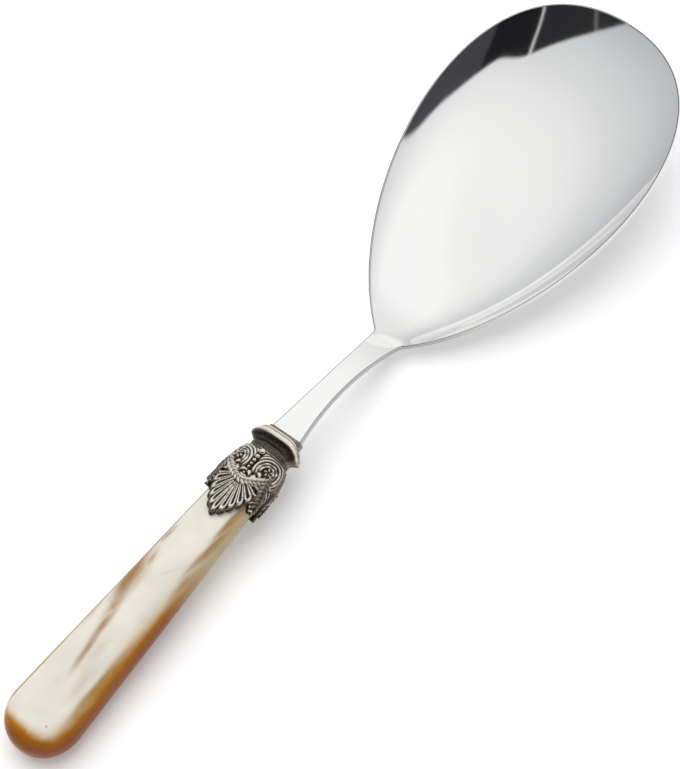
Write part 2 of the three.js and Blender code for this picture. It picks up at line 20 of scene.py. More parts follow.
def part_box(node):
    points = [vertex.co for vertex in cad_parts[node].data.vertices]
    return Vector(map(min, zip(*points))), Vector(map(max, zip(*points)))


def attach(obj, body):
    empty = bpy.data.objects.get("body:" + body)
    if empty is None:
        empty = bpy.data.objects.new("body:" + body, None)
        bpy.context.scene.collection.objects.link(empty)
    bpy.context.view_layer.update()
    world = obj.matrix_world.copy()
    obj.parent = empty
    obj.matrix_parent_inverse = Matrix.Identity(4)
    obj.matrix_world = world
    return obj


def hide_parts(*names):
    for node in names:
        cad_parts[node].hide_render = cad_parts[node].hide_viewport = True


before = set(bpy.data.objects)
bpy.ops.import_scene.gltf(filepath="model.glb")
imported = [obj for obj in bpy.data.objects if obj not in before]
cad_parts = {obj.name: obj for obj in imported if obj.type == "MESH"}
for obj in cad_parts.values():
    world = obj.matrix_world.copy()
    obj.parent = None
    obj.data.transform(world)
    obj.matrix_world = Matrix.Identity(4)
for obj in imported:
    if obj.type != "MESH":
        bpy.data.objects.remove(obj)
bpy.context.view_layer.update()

LOG = logging.getLogger("rice_spoon")
MM = 0.001
BODY = "root"


class Face(Enum):
    """The two broad faces of the ferrule, which carry the same ornament."""

    TOP = 1
    UNDER = -1


class Hand(Enum):
    """The two sides of the spoon, seen from the handle's end."""

    LEFT = 1
    RIGHT = -1


def linear(hex_colour: str) -> tuple[float, float, float, float]:
    """Turns an sRGB hex colour into linear RGBA.

    Args:
        hex_colour: Six hex digits with a leading hash.

    Returns:
        Red, green, blue and an alpha of one.
    """
    parts = [int(hex_colour[i:i + 2], 16) / 255 for i in (1, 3, 5)]
    channels = [p / 12.92 if p <= 0.04045 else ((p + 0.055) / 1.055) ** 2.4 for p in parts]
    return (*channels, 1.0)


def add_node(
    tree: bpy.types.NodeTree,
    kind: str,
    links: Optional[dict[Any, Any]] = None,
    stops: Sequence[tuple[float, str]] = (),
    **settings: Any,
) -> bpy.types.Node:
    """Adds a node with its settings and links.

    Args:
        tree: Node tree that takes the node.
        kind: Name of the node's type.
        links: Input name or number to a node's socket, a node for its first output, a list of
            these, or a value for the input.
        stops: Positions and hex colours of a colour ramp.
        settings: Properties of the node itself.

    Returns:
        The new node.
    """
    node = tree.nodes.new(kind)
    for name, value in settings.items():
        setattr(node, name, value)
    for key, value in (links or {}).items():
        for source in value if isinstance(value, list) else [value]:
            if isinstance(source, bpy.types.Node):
                tree.links.new(source.outputs[0], node.inputs[key])
            elif isinstance(source, bpy.types.NodeSocket):
                tree.links.new(source, node.inputs[key])
            else:
                node.inputs[key].default_value = source
    if stops:
        elements = node.color_ramp.elements
        while len(elements) < len(stops):
            elements.new(1.0)
        for element, (position, colour) in zip(elements, stops):
            element.position = position
            element.color = linear(colour)
    return node


def new_material(name: str) -> tuple[bpy.types.Material, bpy.types.NodeTree]:
    """Makes an empty node material.

    Args:
        name: The finish's name.

    Returns:
        The material and its node tree.
    """
    material = bpy.data.materials.new(name)
    material.use_nodes = True
    material.node_tree.nodes.clear()
    return material, material.node_tree


def close_material(tree: bpy.types.NodeTree, inputs: dict[str, Any]) -> None:
    """Ends a material's tree with its shader, given the shader's links and values by input."""
    shader = add_node(tree, "ShaderNodeBsdfPrincipled", inputs)
    add_node(tree, "ShaderNodeOutputMaterial", {"Surface": shader})


def smooth_step(value: np.ndarray, low: float, high: float) -> np.ndarray:
    """Rises smoothly from 0 at low to 1 at high."""
    t = np.clip((value - low) / (high - low), 0, 1)
    return t * t * (3 - 2 * t)


def between(
    value: np.ndarray, rise: tuple[float, float], fall: tuple[float, float]
) -> np.ndarray:
    """Smoothly 1 from the end of a rise to the start of a fall, and 0 outside them."""
    return smooth_step(value, *rise) * (1 - smooth_step(value, *fall))


def ridge(offset: np.ndarray, half: float) -> np.ndarray:
    """A round ridge: 1 on its line, and 0 from half its width out."""
    return np.sqrt(np.clip(1 - (offset / half) ** 2, 0, 1))


def soft_max(a: np.ndarray, b: np.ndarray, blend: float) -> np.ndarray:
    """The larger of two values, rounded over where they meet."""
    return 0.5 * (a + b + np.sqrt((a - b) ** 2 + blend**2))


def oval(turn: np.ndarray, squareness: float) -> tuple[np.ndarray, np.ndarray]:
    """A squared-off unit oval.

    Args:
        turn: Angles from the top of the oval, in radians.
        squareness: Power of the oval, 2 for an ellipse.

    Returns:
        Its sideways and upright coordinates.
    """
    side, up = np.sin(turn), np.cos(turn)
    power = 2 / squareness
    return np.sign(side) * np.abs(side) ** power, np.sign(up) * np.abs(up) ** power


def even_turns(half_width: float, half_height: float, squareness: float, count: int) -> np.ndarray:
    """Angles that divide a squared-off oval into equal lengths.

    Args:
        half_width: Half of the oval's width.
        half_height: Half of its height.
        squareness: Its power.
        count: Number of points round it.

    Returns:
        The angles, from the top and once round.
    """
    fine = np.linspace(0, 2 * math.pi, 40 * count + 1)
    side, up = oval(fine, squareness)
    steps = np.hypot(np.diff(half_width * side), np.diff(half_height * up))
    run = np.concatenate([[0], np.cumsum(steps)])
    return np.interp(np.arange(count) / count * run[-1], run, fine)


def ring_faces(rows: int, columns: int, closed: bool = False) -> list[tuple[int, ...]]:
    """Quads between rings of points that follow each other.

    Args:
        rows: Number of rings.
        columns: Points in each ring.
        closed: Whether the last ring joins the first.

    Returns:
        Vertex indices of each quad.
    """
    faces = []
    for row in range(rows if closed else rows - 1):
        start, after = row * columns, (row + 1) % rows * columns
        for column in range(columns):
            beside = (column + 1) % columns
            faces.append((start + column, start + beside, after + beside, after + column))
    return faces


@dataclass(frozen=True)
class Bench:
    """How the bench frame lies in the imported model's frame."""

    tip: float = math.radians(3.0398803822)
    shift_x: float = -20.832168
    shift_z: float = 12.163843

    def lay(self, points: np.ndarray) -> np.ndarray:
        """Lays bench points, in millimetres, at rest.

        Args:
            points: Rows of x, y and z on the bench, in millimetres.

        Returns:
            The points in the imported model's frame, in metres, none below the table.
        """
        x, y, z = points[:, 0], points[:, 1], points[:, 2]
        along = x * math.cos(self.tip) - z * math.sin(self.tip) + self.shift_x
        up = x * math.sin(self.tip) + z * math.cos(self.tip) + self.shift_z
        return np.column_stack([along, y, np.maximum(up, 0)]) * MM


BENCH = Bench()


def add_object(name: str, data: bpy.types.ID) -> bpy.types.Object:
    """Puts an object into the scene, at the origin.

    Args:
        name: Name of the object.
        data: Its mesh, light or camera.

    Returns:
        The new object.
    """
    added = bpy.data.objects.new(name, data)
    bpy.context.scene.collection.objects.link(added)
    return added


def mesh_piece(
    name: str,
    points: np.ndarray,
    faces: Sequence[Sequence[int]],
    material: bpy.types.Material,
    marks: Optional[dict[str, np.ndarray]] = None,
) -> bpy.types.Object:
    """Makes a smooth closed mesh from bench points.

    Args:
        name: Name of the piece.
        points: Rows of x, y and z on the bench, in millimetres.
        faces: Vertex indices of each face.
        material: Finish of the piece.
        marks: Values for each point, by attribute name.

    Returns:
        The piece's object, at the origin.
    """
    mesh = bpy.data.meshes.new(name)
    mesh.from_pydata(BENCH.lay(points).tolist(), [], faces)
    for mark, values in (marks or {}).items():
        layer = mesh.attributes.new(mark, "FLOAT", "POINT")
        layer.data.foreach_set("value", values.astype(np.float32))
    tidy = bmesh.new()
    tidy.from_mesh(mesh)
    bmesh.ops.remove_doubles(tidy, verts=tidy.verts, dist=1e-8)
    bmesh.ops.dissolve_degenerate(tidy, dist=1e-8, edges=tidy.edges)
    bmesh.ops.recalc_face_normals(tidy, faces=tidy.faces)
    tidy.to_mesh(mesh)
    tidy.free()
    mesh.shade_smooth()
    mesh.materials.append(material)
    return add_object(name, mesh)


def new_ornament(
    name: str, inputs: dict[str, str]
) -> tuple[bpy.types.NodeTree, Any, bpy.types.Node, bpy.types.NodeSocket]:
    """Starts a geometry tree with named inputs.

    Args:
        name: Name of the ornament.
        inputs: Socket kind of each input by its name, without the leading NodeSocket.

    Returns:
        The tree, the outputs of its input node, the path as a curve, and the directions out of
        the surface along it.
    """
    tree = bpy.data.node_groups.new(name, "GeometryNodeTree")
    tree.interface.new_socket("Geometry", in_out="OUTPUT", socket_type="NodeSocketGeometry")
    for label, kind in {"Path": "Geometry", **inputs, "Finish": "Material"}.items():
        tree.interface.new_socket(label, in_out="INPUT", socket_type="NodeSocket" + kind)
    given = add_node(tree, "NodeGroupInput").outputs
    line = add_node(tree, "GeometryNodeMeshToCurve", {"Mesh": given["Path"]})
    out = add_node(tree, "GeometryNodeInputNamedAttribute", {"Name": "outward"},
                   data_type="FLOAT_VECTOR").outputs["Attribute"]
    return tree, given, line, out


def close_ornament(
    tree: bpy.types.NodeTree, grown: bpy.types.Node, finish: bpy.types.NodeSocket
) -> None:
    """Ends a tree: real meshes out of the instances, then their finish.

    Args:
        tree: The geometry tree.
        grown: Node whose first output is the geometry that the tree has grown.
        finish: The material input.
    """
    real = add_node(tree, "GeometryNodeRealizeInstances", {"Geometry": grown})
    dressed = add_node(tree, "GeometryNodeSetMaterial", {"Geometry": real, "Material": finish})
    add_node(tree, "NodeGroupOutput", {"Geometry": dressed})


def grow_piece(
    name: str,
    paths: Sequence[tuple[np.ndarray, np.ndarray]],
    tree: bpy.types.NodeTree,
    values: dict[str, Any],
) -> bpy.types.Object:
    """Grows an ornament along paths and keeps it as a plain mesh.

    Args:
        name: Name of the piece.
        paths: Points of each path on the bench, in millimetres, and the directions out of the surface.
        tree: The ornament's geometry tree.
        values: Values of the tree's inputs by name.

    Returns:
        The piece's object, at the origin.
    """
    points = np.vstack([BENCH.lay(path) for path, _ in paths])
    outward = np.vstack([BENCH.lay(path + out) - BENCH.lay(path) for path, out in paths])
    ends = np.cumsum([len(path) for path, _ in paths])
    edges = [(i, i + 1) for i in range(len(points) - 1) if i + 1 not in ends]
    mesh = bpy.data.meshes.new(name + "_path")
    mesh.from_pydata(points.tolist(), edges, [])
    layer = mesh.attributes.new("outward", "FLOAT_VECTOR", "POINT")
    layer.data.foreach_set("vector", outward.astype(np.float32).ravel())
    host = add_object(name + "_path", mesh)
    modifier = host.modifiers.new("ornament", "NODES")
    modifier.node_group = tree
    for item in tree.interface.items_tree:
        if item.in_out == "INPUT" and item.name in values:
            modifier[item.identifier] = values[item.name]
    graph = bpy.context.evaluated_depsgraph_get()
    grown = bpy.data.meshes.new_from_object(host.evaluated_get(graph), depsgraph=graph)
    host.modifiers.remove(modifier)
    bpy.data.objects.remove(host)
    grown.name = name
    grown.shade_smooth()
    return add_object(name, grown)


def round_corners(corners: Sequence[tuple[float, float]], passes: int = 4) -> np.ndarray:
    """Cuts the corners of an open line until it is a smooth curve.

    Args:
        corners: Places on the line.
        passes: How often the corners are cut.

    Returns:
        Places on the curve, with the same ends.
    """
    line = np.array(corners)
    for _ in range(passes):
        near, far = 0.75 * line[:-1] + 0.25 * line[1:], 0.25 * line[:-1] + 0.75 * line[1:]
        line = np.vstack([line[:1], np.stack([near, far], axis=1).reshape(-1, 2), line[-1:]])
    return line


@dataclass(frozen=True)
class BeadRow:
    """A row of cast beads that shrink and crowd together along a path."""

    count: int = 7
    first_radius: float = 1.0
    last_radius: float = 0.36
    crowding: float = 0.77
    segments: int = 16
    rings: int = 10

    def tree(self) -> bpy.types.NodeTree:
        """Builds the geometry tree.

        Returns:
            The tree, with inputs for the count, the radii, the crowding and the finish.
        """
        tree, given, line, out = new_ornament("bead_row", {
            "Count": "Int", "First Radius": "Float", "Last Radius": "Float", "Crowding": "Float"})
        points = add_node(tree, "GeometryNodePoints", {"Count": given["Count"]})
        last = add_node(tree, "ShaderNodeMath", {0: given["Count"], 1: 1.0}, operation="SUBTRACT")
        place = add_node(tree, "ShaderNodeMath", {
            0: add_node(tree, "GeometryNodeInputIndex"), 1: last}, operation="DIVIDE")
        share = add_node(tree, "ShaderNodeMath", {0: place, 1: given["Crowding"]}, operation="POWER")
        along = add_node(tree, "GeometryNodeSampleCurve", {
            "Curves": line, "Value": out, "Factor": share}, mode="FACTOR", data_type="FLOAT_VECTOR")
        set_out = add_node(tree, "GeometryNodeSetPosition", {
            "Geometry": points, "Position": along.outputs["Position"]})
        turn = add_node(tree, "FunctionNodeAxesToRotation", {
            0: along.outputs["Value"], 1: along.outputs["Tangent"]},
            primary_axis="Z", secondary_axis="X")
        left = add_node(tree, "ShaderNodeMath", {0: 1.0, 1: share}, operation="SUBTRACT")
        fade = add_node(tree, "ShaderNodeMath", {0: left, 1: 2.0}, operation="POWER")
        radius = add_node(tree, "ShaderNodeMapRange", {
            "Value": fade, "To Min": given["Last Radius"], "To Max": given["First Radius"]})
        ball = add_node(tree, "GeometryNodeMeshUVSphere", {
            "Segments": self.segments, "Rings": self.rings, "Radius": 1.0})
        rise = add_node(tree, "ShaderNodeSeparateXYZ", {
            0: add_node(tree, "GeometryNodeInputPosition")}).outputs["Z"]
        rubbed = add_node(tree, "ShaderNodeMapRange", {
            "Value": rise, "From Min": -0.1, "From Max": 0.7, "To Min": 0.12, "To Max": 0.95})
        worn = add_node(tree, "GeometryNodeStoreNamedAttribute", {
            "Geometry": ball, "Name": "wear", "Value": rubbed}, data_type="FLOAT", domain="POINT")
        beads = add_node(tree, "GeometryNodeInstanceOnPoints", {
            "Points": set_out, "Instance": worn, "Rotation": turn, "Scale": radius})
        close_ornament(tree, beads, given["Finish"])
        return tree

    def values(self, finish: bpy.types.Material) -> dict[str, Any]:
        """Values of the tree's inputs, in metres."""
        return {"Count": self.count, "First Radius": self.first_radius * MM,
                "Last Radius": self.last_radius * MM, "Crowding": self.crowding, "Finish": finish}


@dataclass(frozen=True)
class LaurelGarland:
    """A cord with pairs of small laurel leaves along it, as on a swag or a sprig."""

    spacing: float = 1.1
    leaf_length: float = 2.3
    leaf_width: float = 1.3
    leaf_rise: float = 0.6
    leaf_droop: float = 0.3
    splay: float = math.radians(36)
    cord: float = 0.4
    pinch: float = 0.5
    seed: int = 4
    segments: int = 8
    rings: int = 6

    def _leaf(self, tree: bpy.types.NodeTree, given: Any) -> bpy.types.Node:
        """Draws a pair of leaves that spring from one place on the cord.

        Args:
            tree: The geometry tree.
            given: Outputs of its input node.

        Returns:
            The node that joins the pair.
        """
        ball = add_node(tree, "GeometryNodeMeshUVSphere", {
            "Segments": self.segments, "Rings": self.rings, "Radius": 1.0})
        place = add_node(tree, "ShaderNodeSeparateXYZ", {
            0: add_node(tree, "GeometryNodeInputPosition")}).outputs
        rubbed = add_node(tree, "ShaderNodeMapRange", {
            "Value": place["Y"], "From Min": -0.1, "From Max": 0.75, "To Min": 0.3, "To Max": 0.88})
        worn = add_node(tree, "GeometryNodeStoreNamedAttribute", {
            "Geometry": ball, "Name": "wear", "Value": rubbed}, data_type="FLOAT", domain="POINT")
        along = add_node(tree, "ShaderNodeMapRange", {
            "Value": place["Z"], "From Min": -1.0, "From Max": 1.0, "To Max": given["Leaf Length"]})
        taper = add_node(tree, "ShaderNodeMapRange", {
            "Value": place["Z"], "From Min": -1.0, "From Max": 1.0,
            "To Min": 0.5, "To Max": 0.5 - 0.5 * self.pinch})
        half = add_node(tree, "ShaderNodeMath", {
            0: taper, 1: given["Leaf Width"]}, operation="MULTIPLY")
        across = add_node(tree, "ShaderNodeMath", {0: place["X"], 1: half}, operation="MULTIPLY")
        rise = add_node(tree, "ShaderNodeMath", {
            0: place["Y"], 1: given["Leaf Rise"]}, operation="MULTIPLY")
        droop = add_node(tree, "ShaderNodeMapRange", {
            "Value": place["Z"], "From Min": -1.0, "From Max": 1.0, "To Max": given["Leaf Droop"]},
            interpolation_type="SMOOTHSTEP")
        bent = add_node(tree, "ShaderNodeMath", {0: rise, 1: droop}, operation="SUBTRACT")
        spot = add_node(tree, "ShaderNodeCombineXYZ", {0: along, 1: across, 2: bent})
        leaf = add_node(tree, "GeometryNodeSetPosition", {"Geometry": worn, "Position": spot})
        pair = []
        for hand in Hand:
            angle = add_node(tree, "ShaderNodeMath", {
                0: given["Splay"], 1: float(hand.value)}, operation="MULTIPLY")
            turn = add_node(tree, "ShaderNodeCombineXYZ", {2: angle})
            pair.append(add_node(tree, "GeometryNodeTransform", {"Geometry": leaf, "Rotation": turn}))
        return add_node(tree, "GeometryNodeJoinGeometry", {0: pair})

    def tree(self) -> bpy.types.NodeTree:
        """Builds the geometry tree.

        Returns:
            The tree, with inputs for the leaves, the cord and the finish.
        """
        tree, given, line, out = new_ornament("laurel_garland", {
            "Spacing": "Float", "Leaf Length": "Float", "Leaf Width": "Float", "Leaf Rise": "Float",
            "Leaf Droop": "Float", "Splay": "Float", "Cord Radius": "Float"})
        stops = add_node(tree, "GeometryNodeResampleCurve", {
            "Curve": line, "Length": given["Spacing"]}, mode="LENGTH")
        turn = add_node(tree, "FunctionNodeAxesToRotation", {
            0: out, 1: add_node(tree, "GeometryNodeInputTangent")},
            primary_axis="Z", secondary_axis="X")
        size = add_node(tree, "FunctionNodeRandomValue", {
            "Min": 0.85, "Max": 1.12, "Seed": self.seed}, data_type="FLOAT")
        leaves = add_node(tree, "GeometryNodeInstanceOnPoints", {
            "Points": stops, "Instance": self._leaf(tree, given), "Rotation": turn,
            "Scale": size.outputs["Value"]})
        ring = add_node(tree, "GeometryNodeCurvePrimitiveCircle", {
            "Resolution": self.segments, "Radius": given["Cord Radius"]})
        cord = add_node(tree, "GeometryNodeCurveToMesh", {
            "Curve": line, "Profile Curve": ring, "Fill Caps": True})
        worn = add_node(tree, "GeometryNodeStoreNamedAttribute", {
            "Geometry": cord, "Name": "wear", "Value": 0.55}, data_type="FLOAT", domain="POINT")
        both = add_node(tree, "GeometryNodeJoinGeometry", {0: [leaves, worn]})
        close_ornament(tree, both, given["Finish"])
        return tree

    def values(self, finish: bpy.types.Material) -> dict[str, Any]:
        """Values of the tree's inputs, in metres and radians."""
        return {"Spacing": self.spacing * MM, "Leaf Length": self.leaf_length * MM,
                "Leaf Width": self.leaf_width * MM, "Leaf Rise": self.leaf_rise * MM,
                "Leaf Droop": self.leaf_droop * MM, "Splay": self.splay,
                "Cord Radius": self.cord * MM, "Finish": finish}


def seat_piece(piece: bpy.types.Object, slot: str, *nodes: str) -> None:
    """Rides a finished piece on the spoon and reports it.

    Args:
        piece: The piece's object.
        slot: The record's material slot.
        nodes: CAD nodes that the piece stands for.
    """
    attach(piece, BODY)
    if nodes:
        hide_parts(*nodes)
    LOG.info("%s: %d faces, finish %s", piece.name, len(piece.data.polygons), slot)


@dataclass(frozen=True)
class PolishedSteel:
    """Stainless steel, stamped and then buffed to a mirror with a soft mop.

    The mop leaves hairlines along the blade and a faint wave in the mirror.
    """

    tint: str = "#f8f8f8"
    worn_tint: str = "#f4f4f3"
    painted_shade_tint: str = "#3f3e3c"
    roughness: float = 0.05
    # The mop's hairlines are about 0.02 mm apart, and drawn coarser so that they show.
    hairline_mm: float = 0.25
    wave_mm: float = 30.0

    def material(self) -> bpy.types.Material:
        """Builds the finish, darker where the piece's points carry painted shade in their corner
        attribute.

        Returns:
            The steel's material.
        """
        material, tree = new_material("polished_stainless_steel")
        place = add_node(tree, "ShaderNodeTexCoord").outputs["Object"]
        per_metre = 1 / (self.hairline_mm * MM)
        stretched = add_node(tree, "ShaderNodeMapping", {
            "Vector": place, "Scale": (per_metre / 40, per_metre, per_metre / 4)})
        hairline = add_node(tree, "ShaderNodeTexNoise", {
            "Vector": stretched, "Scale": 1.0, "Detail": 2.0})
        wave = add_node(tree, "ShaderNodeTexNoise", {
            "Vector": place, "Scale": 1 / (self.wave_mm * MM), "Detail": 1.0})
        rough = add_node(tree, "ShaderNodeMapRange", {
            "Value": hairline, "From Min": 0.35, "From Max": 0.7,
            "To Min": self.roughness * 0.8, "To Max": self.roughness * 1.5})
        colour = add_node(tree, "ShaderNodeMix", {
            0: wave, 6: linear(self.tint), 7: linear(self.worn_tint)}, data_type="RGBA")
        # The corner attribute holds painted shade: dark lines on the edges, grey strip sides and a grey
        # heel.
        corner = add_node(tree, "ShaderNodeAttribute", attribute_name="corner").outputs["Fac"]
        with_painted_shade = add_node(tree, "ShaderNodeMix", {
            0: corner, 6: colour.outputs[2], 7: linear(self.painted_shade_tint)}, data_type="RGBA")
        close_material(tree, {"Base Color": with_painted_shade.outputs[2], "Metallic": 1.0, "Roughness": rough})
        return material


@dataclass(frozen=True)
class AntiquedPewter:
    """Cast pewter, blackened in a bath and rubbed back on the high places.

    The recesses stay brown-black and rough, and the crests are bright and worn smooth.
    """

    recess: str = "#3a3029"
    ground: str = "#7d7367"
    crest: str = "#f2ebdf"
    # The cast skin's grain is about 0.15 mm, and drawn coarser so that it shows.
    grain_mm: float = 0.5

    def material(self) -> bpy.types.Material:
        """Builds the finish, from the rubbed brightness and the painted shade and highlight kept on the
        piece's points.

        Returns:
            The pewter's material.
        """
        material, tree = new_material("antiqued_cast_pewter")
        place = add_node(tree, "ShaderNodeTexCoord").outputs["Object"]
        # The attribute holds rubbed brightness, and on the ferrule also painted shade on the sides and in
        # the cove and a painted highlight on the band.
        wear = add_node(tree, "ShaderNodeAttribute", attribute_name="wear").outputs["Fac"]
        grain = add_node(tree, "ShaderNodeTexNoise", {
            "Vector": place, "Scale": 1 / (self.grain_mm * MM), "Detail": 4.0})
        uneven = add_node(tree, "ShaderNodeMapRange", {
            "Value": grain, "From Min": 0.3, "From Max": 0.7, "To Min": -0.10, "To Max": 0.10})
        rubbed = add_node(tree, "ShaderNodeMath", {0: wear, 1: uneven}, operation="ADD")
        colour = add_node(tree, "ShaderNodeValToRGB", {"Fac": rubbed}, stops=(
            (0.12, self.recess), (0.45, self.ground), (0.85, self.crest)))
        rough = add_node(tree, "ShaderNodeMapRange", {"Value": rubbed, "To Min": 0.55, "To Max": 0.27})
        bump = add_node(tree, "ShaderNodeBump", {
            "Height": grain, "Strength": 0.25, "Distance": 0.06 * MM})
        close_material(tree, {
            "Base Color": colour, "Metallic": 1.0, "Roughness": rough, "Normal": bump})
        return material


@dataclass(frozen=True)
class PearlAcrylic:
    """Acrylic moulded with a pearl core under amber, then polished.

    The crown is pearl white with drifting clouds; the sides and the end go to clear caramel.
    """

    pearl: str = "#f4efe1"
    pearl_shade: str = "#eae4d6"
    honey: str = "#cf9f48"
    amber: str = "#b46e18"
    deep_amber: str = "#9a520c"
    horn: str = "#d6c69e"
    smoke: str = "#a87f50"
    cloud_mm: float = 14.0
    streak_mm: float = 5.0

    def material(self) -> bpy.types.Material:
        """Builds the finish, from the depth and smoke kept on the piece's points.

        Returns:
            The acrylic's material.
        """
        material, tree = new_material("pearl_and_amber_acrylic")
        place = add_node(tree, "ShaderNodeTexCoord").outputs["Object"]
        depth = add_node(tree, "ShaderNodeAttribute", attribute_name="amber_depth").outputs["Fac"]
        smoke = add_node(tree, "ShaderNodeAttribute", attribute_name="smoke").outputs["Fac"]
        cloud = add_node(tree, "ShaderNodeTexNoise", {
            "Vector": place, "Scale": 1 / (self.cloud_mm * MM), "Detail": 2.0, "Distortion": 0.4})
        along = add_node(tree, "ShaderNodeMapping", {"Vector": place, "Scale": (0.25, 1.0, 1.0)})
        streak = add_node(tree, "ShaderNodeTexNoise", {
            "Vector": along, "Scale": 1 / (self.streak_mm * MM), "Detail": 3.0, "Distortion": 0.6})
        shade = add_node(tree, "ShaderNodeMapRange", {
            "Value": cloud, "From Min": 0.4, "From Max": 0.68})
        pearl = add_node(tree, "ShaderNodeMix", {
            0: shade, 6: linear(self.pearl), 7: linear(self.pearl_shade)}, data_type="RGBA")
        wobble = add_node(tree, "ShaderNodeMapRange", {"Value": streak, "To Min": -0.9, "To Max": 0.9})
        edge = add_node(tree, "ShaderNodeMath", {0: depth, 1: wobble}, operation="ADD")
        amber_share = add_node(tree, "ShaderNodeMapRange", {
            "Value": edge, "From Min": -1.9, "From Max": 0.7}, interpolation_type="SMOOTHSTEP")
        below = add_node(tree, "ShaderNodeMapRange", {"Value": edge, "From Min": -1.0, "From Max": 4.0})
        body = add_node(tree, "ShaderNodeValToRGB", {"Fac": below}, stops=(
            (0.05, self.honey), (0.35, self.amber), (0.75, self.deep_amber)))
        forward = add_node(tree, "ShaderNodeMapRange", {
            "Value": add_node(tree, "ShaderNodeSeparateXYZ", {0: place}).outputs["X"],
            "From Min": -0.085, "From Max": -0.060, "To Max": 0.85}, interpolation_type="SMOOTHSTEP")
        amber = add_node(tree, "ShaderNodeMix", {
            0: forward, 6: body.outputs["Color"], 7: linear(self.horn)}, data_type="RGBA")
        smoked = add_node(tree, "ShaderNodeMath", {0: smoke, 1: streak}, operation="MULTIPLY")
        smoke_share = add_node(tree, "ShaderNodeMapRange", {
            "Value": smoked, "From Min": 0.02, "From Max": 0.72}, interpolation_type="SMOOTHSTEP")
        veiled = add_node(tree, "ShaderNodeMix", {
            0: smoke_share, 6: pearl.outputs[2], 7: linear(self.smoke)}, data_type="RGBA")
        colour = add_node(tree, "ShaderNodeMix", {
            0: amber_share, 6: veiled.outputs[2], 7: amber.outputs[2]}, data_type="RGBA")
        close_material(tree, {
            "Base Color": colour.outputs[2], "Roughness": 0.22, "IOR": 1.49,
            "Specular IOR Level": 0.18, "Coat Weight": 0.08, "Coat Roughness": 0.06})
        return material


@dataclass(frozen=True)
class EpoxyCement:
    """Two-part epoxy, filled and set hard: a dull straw resin with mineral specks."""

    resin: str = "#cbbf9f"
    speck: str = "#a8997a"
    speck_mm: float = 0.8

    def material(self) -> bpy.types.Material:
        """Builds the finish.

        Returns:
            The cement's material.
        """
        material, tree = new_material("filled_epoxy_cement")
        place = add_node(tree, "ShaderNodeTexCoord").outputs["Object"]
        specks = add_node(tree, "ShaderNodeTexVoronoi", {
            "Vector": place, "Scale": 1 / (self.speck_mm * MM)})
        share = add_node(tree, "ShaderNodeMapRange", {
            "Value": specks.outputs["Distance"], "From Min": 0.1, "From Max": 0.5,
            "To Min": 1.0, "To Max": 0.0})
        colour = add_node(tree, "ShaderNodeMix", {
            0: share, 6: linear(self.resin), 7: linear(self.speck)}, data_type="RGBA")
        bump = add_node(tree, "ShaderNodeBump", {
            "Height": specks.outputs["Distance"], "Strength": 0.3, "Distance": 0.1 * MM})
        close_material(tree, {"Base Color": colour.outputs[2], "Roughness": 0.6, "Normal": bump})
        return material


